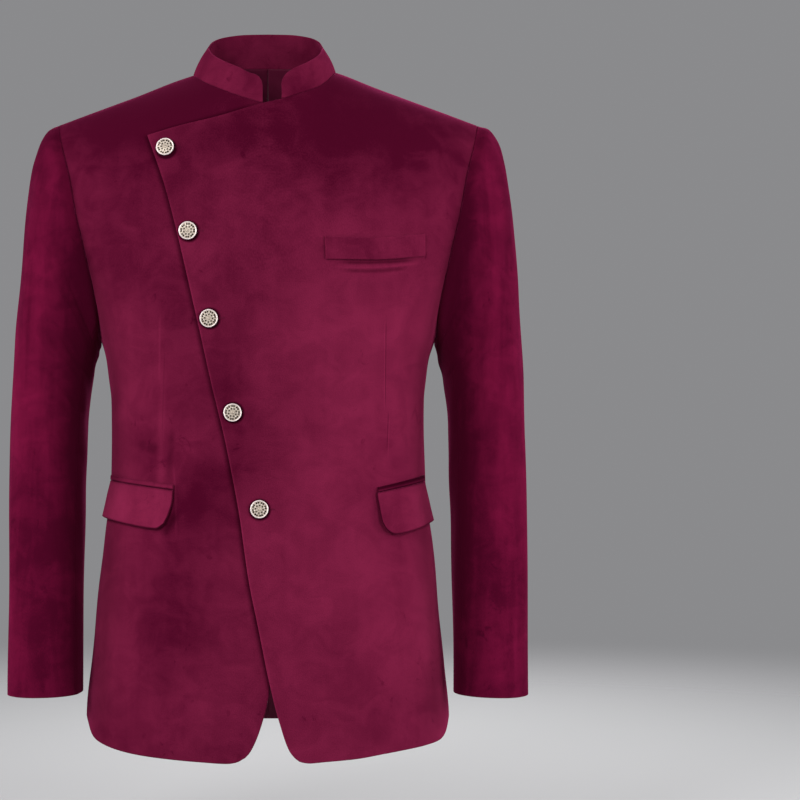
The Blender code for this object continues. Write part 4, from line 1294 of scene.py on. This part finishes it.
# For each: the front it is on, the flap's and the jet's outlines, and how strongly the jet's edges are
# painted in shade
FLAPS = (
    ("right", under_front, (
        ((-175.2, -482.6), (-157.8, -486), (-134.5, -490.2), (-117.5, -491.8), (-108.3, -486)),
        ((-168.8, -442.4), (-98.9, -450.8)),
        ((-175.2, -482.6), (-173, -462), (-168.8, -442.4)),
        ((-108.3, -486), (-104, -476.5), (-99.6, -460), (-98.9, -450.8)),
    ), (
        ((-168.9, -442), (-98.9, -450.4)),
        ((-168.9, -436.6), (-98.9, -444.8)),
    ), (0.8, 0.25)),
    ("left", over_front, (
        ((118.9, -484.6), (124.2, -493.6), (133, -498.2), (155, -494.2), (175.5, -487)),
        ((114.2, -453.6), (168.6, -443.6)),
        ((118.9, -484.6), (116.9, -473), (115.7, -465.2), (114.4, -457), (114.2, -453.6)),
        ((175.5, -487), (172.7, -465.5), (168.6, -443.6)),
    ), (
        ((115.2, -453.2), (168.6, -443.2)),
        ((115.9, -447.6), (168.1, -436.4)),
    ), (1.0, 1.0)),
)
for name, front, flap_outline, jet_outline, jet_shades in FLAPS:
    laid_on(f"{name}_pocket_flap", f"flap_{name}", FLAP_VELVET, flap_outline, columns=48, rows=20,
            free=(1, 1, 1, 0.5), stand_off=FLAP_STAND_OFF, curl=FLAP_CURL)
    laid_on(f"{name}_pocket_jet", f"jet_{name}", JET_VELVET, jet_outline, columns=48, rows=3,
            free=(0.5, 0.5, *jet_shades))


# The buttons. Each is a cast shank button in pale rose metal: a plain bright rim round a plate that
# is pierced with rings of small holes about a little dome.
BUTTON_PROFILE = (
    (0.0, 0.0), (3.2, 0.0), (3.2, 1.4), (6.8, 1.4), (8.4, 1.7), (9.2, 2.2), (9.6, 2.9), (9.55, 3.5),
    (9.3, 4.0), (8.98, 4.22), (8.65, 4.18), (8.36, 3.85), (8.22, 3.2), (8.17, 2.4), (0.0, 2.4),
)
PLATE_RADIUS, PLATE_LOW, PLATE_THICK, PLATE_CROWN = 8.3, 3.1, 0.6, 0.45
PLATE_TOP = PLATE_LOW + PLATE_THICK / 2 + PLATE_CROWN
PLATE_SIDES, HOLE_SIDES, CUTTER_DEPTH = 64, 12, 4.0
PAIR_TURN, INNER_TURN = 8.9, 22.5


def button_metal(name, bright, worn_colour, roughness, metallic):
    material, tree, shader, coordinates = new_finish(name)
    worn = spread(tree, noise(tree, coordinates["Object"], 420.0, 3.0), 0.35, 0.7)
    feed(tree, shader, {
        "Base Color": blended(tree, worn, (*bright, 1), (*worn_colour, 1)),
        "Roughness": spread(tree, worn, 0.0, 1.0, roughness, roughness + 0.12), "Metallic": metallic,
    })
    return material


def mottled(name, scale, first, second, **inputs):
    """A dull finish that varies finely between two colours."""
    material, tree, shader, coordinates = new_finish(name)
    colour = blended(tree, noise(tree, coordinates["Object"], scale, 2.0), (*first, 1), (*second, 1))
    feed(tree, shader, {"Base Color": colour, "Roughness": 0.8, **inputs})
    return material


METAL = button_metal("rose_silver_rim", (0.96, 0.86, 0.83), (0.88, 0.77, 0.74), 0.42, 0.50)
PLATE_METAL = button_metal("warm_silver_plate", (0.52, 0.45, 0.37), (0.42, 0.35, 0.29), 0.50, 0.55)
# The floor under the pierced plate is near-black, so the holes show dark
RECESS = mottled("near_black_recess", 900.0, (0.030, 0.020, 0.016), (0.075, 0.050, 0.040), Metallic=0.2)


def turned(profile, steps, materials, recess=(0, 0)):
    """A piece turned about the z axis from its profile (radius, height), in millimetres.

    Faces within the recess's radius and above its floor take the second material.
    """
    shape = bmesh.new()
    points = [shape.verts.new((r, 0, h)) for r, h in profile]
    lines = [shape.edges.new(pair) for pair in zip(points, points[1:])]
    bmesh.ops.spin(shape, geom=points + lines, axis=(0, 0, 1), cent=(0, 0, 0),
                   angle=2 * math.pi, steps=steps, use_merge=True)
    bmesh.ops.remove_doubles(shape, verts=shape.verts[:], dist=1e-4)
    bmesh.ops.recalc_face_normals(shape, faces=shape.faces[:])
    for face in shape.faces:
        middle = face.calc_center_median()
        face.material_index = int(math.hypot(middle.x, middle.y) < recess[0] and middle.z > recess[1])
    mesh = bpy.data.meshes.new("turned")
    shape.to_mesh(mesh)
    shape.free()
    for material in materials:
        mesh.materials.append(material)
    mesh.shade_smooth()
    return mesh


def give_coated(tree, shape, material):
    """Ends a tree: its shapes become real and take a material."""
    real = add(tree, "GeometryNodeRealizeInstances", {0: shape})
    coated = add(tree, "GeometryNodeSetMaterial", {"Geometry": real.outputs[0], "Material": material})
    add(tree, "NodeGroupOutput", {0: coated.outputs[0]})


def pierced_plate_tree():
    """Cuts rings of holes through a disc, and crowns it. Lengths are in millimetres."""
    tree, given, inputs = node_group("pierced plate", (
        ("Geometry", "Geometry"), ("Radius", "Float", PLATE_RADIUS), ("Thickness", "Float", PLATE_THICK),
        ("Crown", "Float", PLATE_CROWN), ("Pair Ring", "Float", 6.90), ("Pair Hole", "Float", 1.00),
        ("Inner Ring", "Float", 4.05), ("Inner Hole", "Float", 0.90), ("Holes Round", "Int", 8),
        ("Material", "Material"),
    ), (("Geometry", "Geometry"),), "GeometryNodeTree")

    def cylinder(sides, radius, depth):
        return add(tree, "GeometryNodeMeshCylinder", {
            "Vertices": sides, "Side Segments": 1, "Fill Segments": 1, "Radius": radius, "Depth": depth,
        }).outputs["Mesh"]

    disc = cylinder(PLATE_SIDES, given["Radius"], given["Thickness"])
    cutters = add(tree, "GeometryNodeJoinGeometry")
    for kind, turn in (("Pair", PAIR_TURN), ("Pair", -PAIR_TURN), ("Inner", INNER_TURN)):
        circle = add(tree, "GeometryNodeMeshCircle", {
            "Vertices": given["Holes Round"], "Radius": given[f"{kind} Ring"],
        })
        holes = add(tree, "GeometryNodeInstanceOnPoints", {
            "Points": circle.outputs["Mesh"],
            "Instance": cylinder(HOLE_SIDES, given[f"{kind} Hole"], CUTTER_DEPTH),
        })
        ring = add(tree, "GeometryNodeTransform", {
            "Geometry": holes.outputs["Instances"], "Rotation": (0.0, 0.0, math.radians(turn)),
        })
        tree.links.new(ring.outputs[0], cutters.inputs[0])
    whole = add(tree, "GeometryNodeRealizeInstances", {0: cutters.outputs[0]})
    cut = add(tree, "GeometryNodeMeshBoolean", {"Mesh 1": disc, "Mesh 2": whole.outputs[0]},
              operation="DIFFERENCE", solver="EXACT")
    spot = add(tree, "GeometryNodeInputPosition").outputs[0]
    x, y, _ = add(tree, "ShaderNodeSeparateXYZ", {0: spot}).outputs
    away = more(tree, times(tree, x, x), y, y)
    drop = arithmetic(tree, "DIVIDE", given["Crown"], given["Radius"])
    drop = arithmetic(tree, "DIVIDE", drop, given["Radius"])
    rise = arithmetic(tree, "SUBTRACT", given["Crown"], times(tree, away, drop))
    offset = add(tree, "ShaderNodeCombineXYZ", {2: rise}).outputs[0]
    crowned = add(tree, "GeometryNodeSetPosition", {"Geometry": cut.outputs[0], "Offset": offset})
    give_coated(tree, crowned.outputs[0], given["Material"])
    return tree, inputs


def made_by(maker, settings, data, name):
    """A plain mesh of what a tree, with these settings, makes of a source's shape."""
    tree, inputs = maker
    source = in_scene(name, data)
    modifier = source.modifiers.new("make", "NODES")
    modifier.node_group = tree
    for key, value in settings.items():
        modifier[inputs[key]] = value
    bpy.context.view_layer.update()
    evaluated = source.evaluated_get(bpy.context.evaluated_depsgraph_get())
    mesh = bpy.data.meshes.new_from_object(evaluated)
    bpy.data.objects.remove(source, do_unlink=True)
    mesh.name = name
    return mesh


plate = made_by(pierced_plate_tree(), {"Material": PLATE_METAL}, bpy.data.meshes.new("plate"), "plate")
for polygon in plate.polygons:
    polygon.use_smooth = False

DOME_PROFILE = ((1.7, 0.0), (1.7, 0.35), (1.5, 0.62), (1.15, 0.85), (0.6, 1.0), (0.0, 1.05))
PETAL_PROFILE = ((0.55, 0.0), (0.5, 0.18), (0.34, 0.33), (0.0, 0.4))
body_mesh = turned(BUTTON_PROFILE, 48, (METAL, RECESS), recess=(8.20, 2.0))
dome_mesh = turned(DOME_PROFILE, 24, (METAL,))
petal_mesh = turned(PETAL_PROFILE, 12, (METAL,))


def joined(name, parts, materials):
    """One mesh of (mesh, matrix) parts, each with its materials' places in the list."""
    shape = bmesh.new()
    for mesh, matrix, slots in parts:
        part = mesh.copy()
        part.transform(matrix)
        before = len(shape.faces)
        shape.from_mesh(part)
        shape.faces.ensure_lookup_table()
        for face in shape.faces[before:]:
            face.material_index = slots[min(face.material_index, len(slots) - 1)]
        bpy.data.meshes.remove(part)
    mesh = bpy.data.meshes.new(name)
    shape.to_mesh(mesh)
    shape.free()
    for material in materials:
        mesh.materials.append(material)
    return mesh


DOME_SINK, PETAL_SINK = 0.15, 0.12
PETALS, PETAL_RING, PETAL_STRETCH = 8, 5.3, (1.1, 0.85, 1, 1)
button_parts = [
    (body_mesh, Matrix(), (0, 1)),
    (plate, Matrix.Translation((0, 0, PLATE_LOW)), (2,)),
    (dome_mesh, Matrix.Translation((0, 0, PLATE_TOP - DOME_SINK)), (2,)),
]
for i in range(PETALS):
    turn = Matrix.Rotation(2 * math.pi * i / PETALS, 4, "Z")
    petal = Matrix.Translation((PETAL_RING, 0, PLATE_TOP - PETAL_SINK))
    button_parts.append((petal_mesh, turn @ petal @ Matrix.Diagonal(PETAL_STRETCH), (0,)))
button_mesh = joined("button", button_parts, (METAL, RECESS, PLATE_METAL))

SHANK_PLAY = 0.8
# Each button is sewn on turned a little further round than the last
BUTTON_TURN = 0.37
for number, (x, z) in enumerate(BUTTONS, 1):
    a, q = place(x, z)
    normal = Vector(outward(a, q))
    spot = Vector(torso(a, q)) + normal * (LAP_LIFT + SEAM_GAP + float(drape(a, q)))
    # The shank lets the button tip to the front a little
    facing = (normal + Vector((0.0, -SHANK_PLAY, 0.0))).normalized()
    shape = button_mesh.copy()
    shape.transform(
        Matrix.Translation(spot / 1000) @ facing.to_track_quat("Z", "Y").to_matrix().to_4x4()
        @ Matrix.Rotation(BUTTON_TURN * number, 4, "Z") @ Matrix.Scale(1 / 1000, 4)
    )
    button = in_scene(f"rose_button_{number}", shape)
    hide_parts(f"button_{number}")
    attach(button, "root")


# The buttonholes. Each is a short slit through the over front, worked round with close stitches of
# maroon silk. The button's shank pulls to its front end, so only its back end shows.
HOLE_LENGTH, HOLE_WIDTH, HOLE_BACK, HOLE_LIFT, HOLE_POINTS = 20.0, 1.2, 16.4, 0.02, 40
STITCH_LENGTH, STITCH_THICK, STITCH_GAP = 1.1, 0.26, 0.45
SILK = mottled("maroon_silk_thread", 700.0, (0.070, 0.0020, 0.017), (0.130, 0.006, 0.033),
               **{"Specular IOR Level": 0.1})


def stitching_tree():
    """Lays stitches across a line, side by side. Lengths are in metres."""
    tree, given, inputs = node_group("worked stitches", (
        ("Geometry", "Geometry"), ("Gap", "Float"), ("Length", "Float"), ("Thickness", "Float"),
        ("Outwards", "Vector"), ("Material", "Material"),
    ), (("Geometry", "Geometry"),), "GeometryNodeTree")
    line = add(tree, "GeometryNodeResampleCurve", {"Curve": given[0], "Length": given["Gap"]}, mode="LENGTH")
    tangent = add(tree, "GeometryNodeInputTangent").outputs[0]
    turn = add(tree, "FunctionNodeAxesToRotation",
               {0: given["Outwards"], 1: tangent}, primary_axis="Z", secondary_axis="Y")
    stitch = add(tree, "GeometryNodeMeshUVSphere", {"Segments": 8, "Rings": 5, "Radius": 0.5})
    length, thickness = given["Length"], given["Thickness"]
    size = add(tree, "ShaderNodeCombineXYZ", {0: length, 1: thickness, 2: thickness})
    stitches = add(tree, "GeometryNodeInstanceOnPoints", {
        "Points": line.outputs[0], "Instance": stitch.outputs["Mesh"],
        "Rotation": turn.outputs[0], "Scale": size.outputs[0],
    })
    give_coated(tree, stitches.outputs[0], given["Material"])
    return tree, inputs


stitching = stitching_tree()
# The hole's outline is a long round-ended ring that lies on the over front
ends = np.linspace(0, 2 * math.pi, HOLE_POINTS, endpoint=False)
ring_across = (HOLE_LENGTH - HOLE_WIDTH) / 2 * np.sign(np.cos(ends)) + HOLE_WIDTH / 2 * np.cos(ends)
for number, (x, z) in enumerate(BUTTONS, 1):
    spots = place(x + HOLE_BACK - HOLE_LENGTH / 2 + ring_across, z + HOLE_WIDTH / 2 * np.sin(ends))
    points, _ = off_torso(*apart(spots), lambda x: LAP_LIFT + HOLE_LIFT)
    curve = bpy.data.curves.new("hole", "CURVE")
    curve.dimensions = "3D"
    spline = curve.splines.new("POLY")
    spline.points.add(len(points) - 1)
    spline.points.foreach_set("co", np.column_stack((points / 1000, np.ones(len(points)))).reshape(-1))
    spline.use_cyclic_u = True
    worked = made_by(stitching, {
        "Gap": STITCH_GAP / 1000, "Length": STITCH_LENGTH / 1000, "Thickness": STITCH_THICK / 1000,
        "Outwards": outward(*place(x, z)).tolist(), "Material": SILK,
    }, curve, "buttonhole")
    hole = in_scene(f"worked_buttonhole_{number}", worked)
    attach(hole, "root")


# The studio: a pale floor that fades into an even backdrop, soft lights and the camera.
FLOOR_Z, FLOOR_RADIUS = -0.86, 3.4
FLOOR_WHOLE, FLOOR_GONE, FLOOR_POINTS = 0.7, 2.6, 96
turns = np.linspace(0, 2 * math.pi, FLOOR_POINTS, endpoint=False)
ring = [(FLOOR_RADIUS * math.cos(turn), FLOOR_RADIUS * math.sin(turn), FLOOR_Z) for turn in turns]
floor_mesh = bpy.data.meshes.new("floor")
floor_mesh.from_pydata(ring, [], [list(range(len(ring)))])
floor = in_scene("floor", floor_mesh)
floor_finish, tree, shader, coordinates = new_finish("pale_floor")
from_middle = length_of(tree, stretched(tree, coordinates["Object"], (1, 1, 0)))
feed(tree, shader, {
    "Base Color": (0.42, 0.42, 0.43, 1), "Roughness": 0.8,
    "Alpha": fading(tree, from_middle, FLOOR_WHOLE, FLOOR_GONE),
})
floor_mesh.materials.append(floor_finish)

# Columns: name, place, what it is aimed at, size and power
SOFT_LIGHTS = (
    ("key", (-1.5, -2.6, 0.9), (0.0, 0.0, -0.35), 1.2, 70),
    ("fill", (1.9, -2.1, 0.0), (0.0, 0.0, -0.4), 1.4, 34),
    ("left_edge", (2.3, -0.2, 0.1), (0.2, 0.0, -0.4), 1.2, 34),
    ("right_edge", (-2.3, -0.2, 0.1), (-0.2, 0.0, -0.4), 1.2, 30),
    ("back", (0.4, 2.7, 0.8), (0.0, 0.0, -0.35), 1.8, 75),
)
for name, spot, target, size, power in SOFT_LIGHTS:
    lamp = bpy.data.lights.new(name, "AREA")
    lamp.shape = "DISK"
    lamp.size = size
    lamp.energy = power
    light = in_scene(name, lamp)
    light.location = spot
    light.rotation_euler = (Vector(target) - Vector(spot)).to_track_quat("-Z", "Y").to_euler()

# The backdrop looks brighter to the camera than it shines on the jacket
BACKDROP = (0.30, 0.30, 0.31, 1)
SHINE, SEEN_BRIGHTER = 0.31, 0.54
world = bpy.data.worlds.new("studio")
bpy.context.scene.world = world
world.use_nodes = True
tree = world.node_tree
seen = add(tree, "ShaderNodeLightPath").outputs["Is Camera Ray"]
strength = more(tree, SHINE, seen, SEEN_BRIGHTER)
feed(tree, tree.nodes["Background"], {"Color": BACKDROP, "Strength": strength})
bpy.context.scene.view_settings.view_transform = "Standard"

# The camera stands level with the middle of the jacket; the photograph has it left of its middle
CAMERA_PLACE = (0.0, -2.7, -0.355)
LENS_LENGTH, SENSOR_WIDTH, LENS_SHIFT = 110.45, 36.0, 0.165
lens = bpy.data.cameras.new("camera")
lens.lens = LENS_LENGTH
lens.sensor_width = SENSOR_WIDTH
lens.shift_x = LENS_SHIFT
camera = in_scene("camera", lens)
camera.location = CAMERA_PLACE
camera.rotation_euler = (math.pi / 2, 0.0, 0.0)
bpy.context.scene.camera = camera
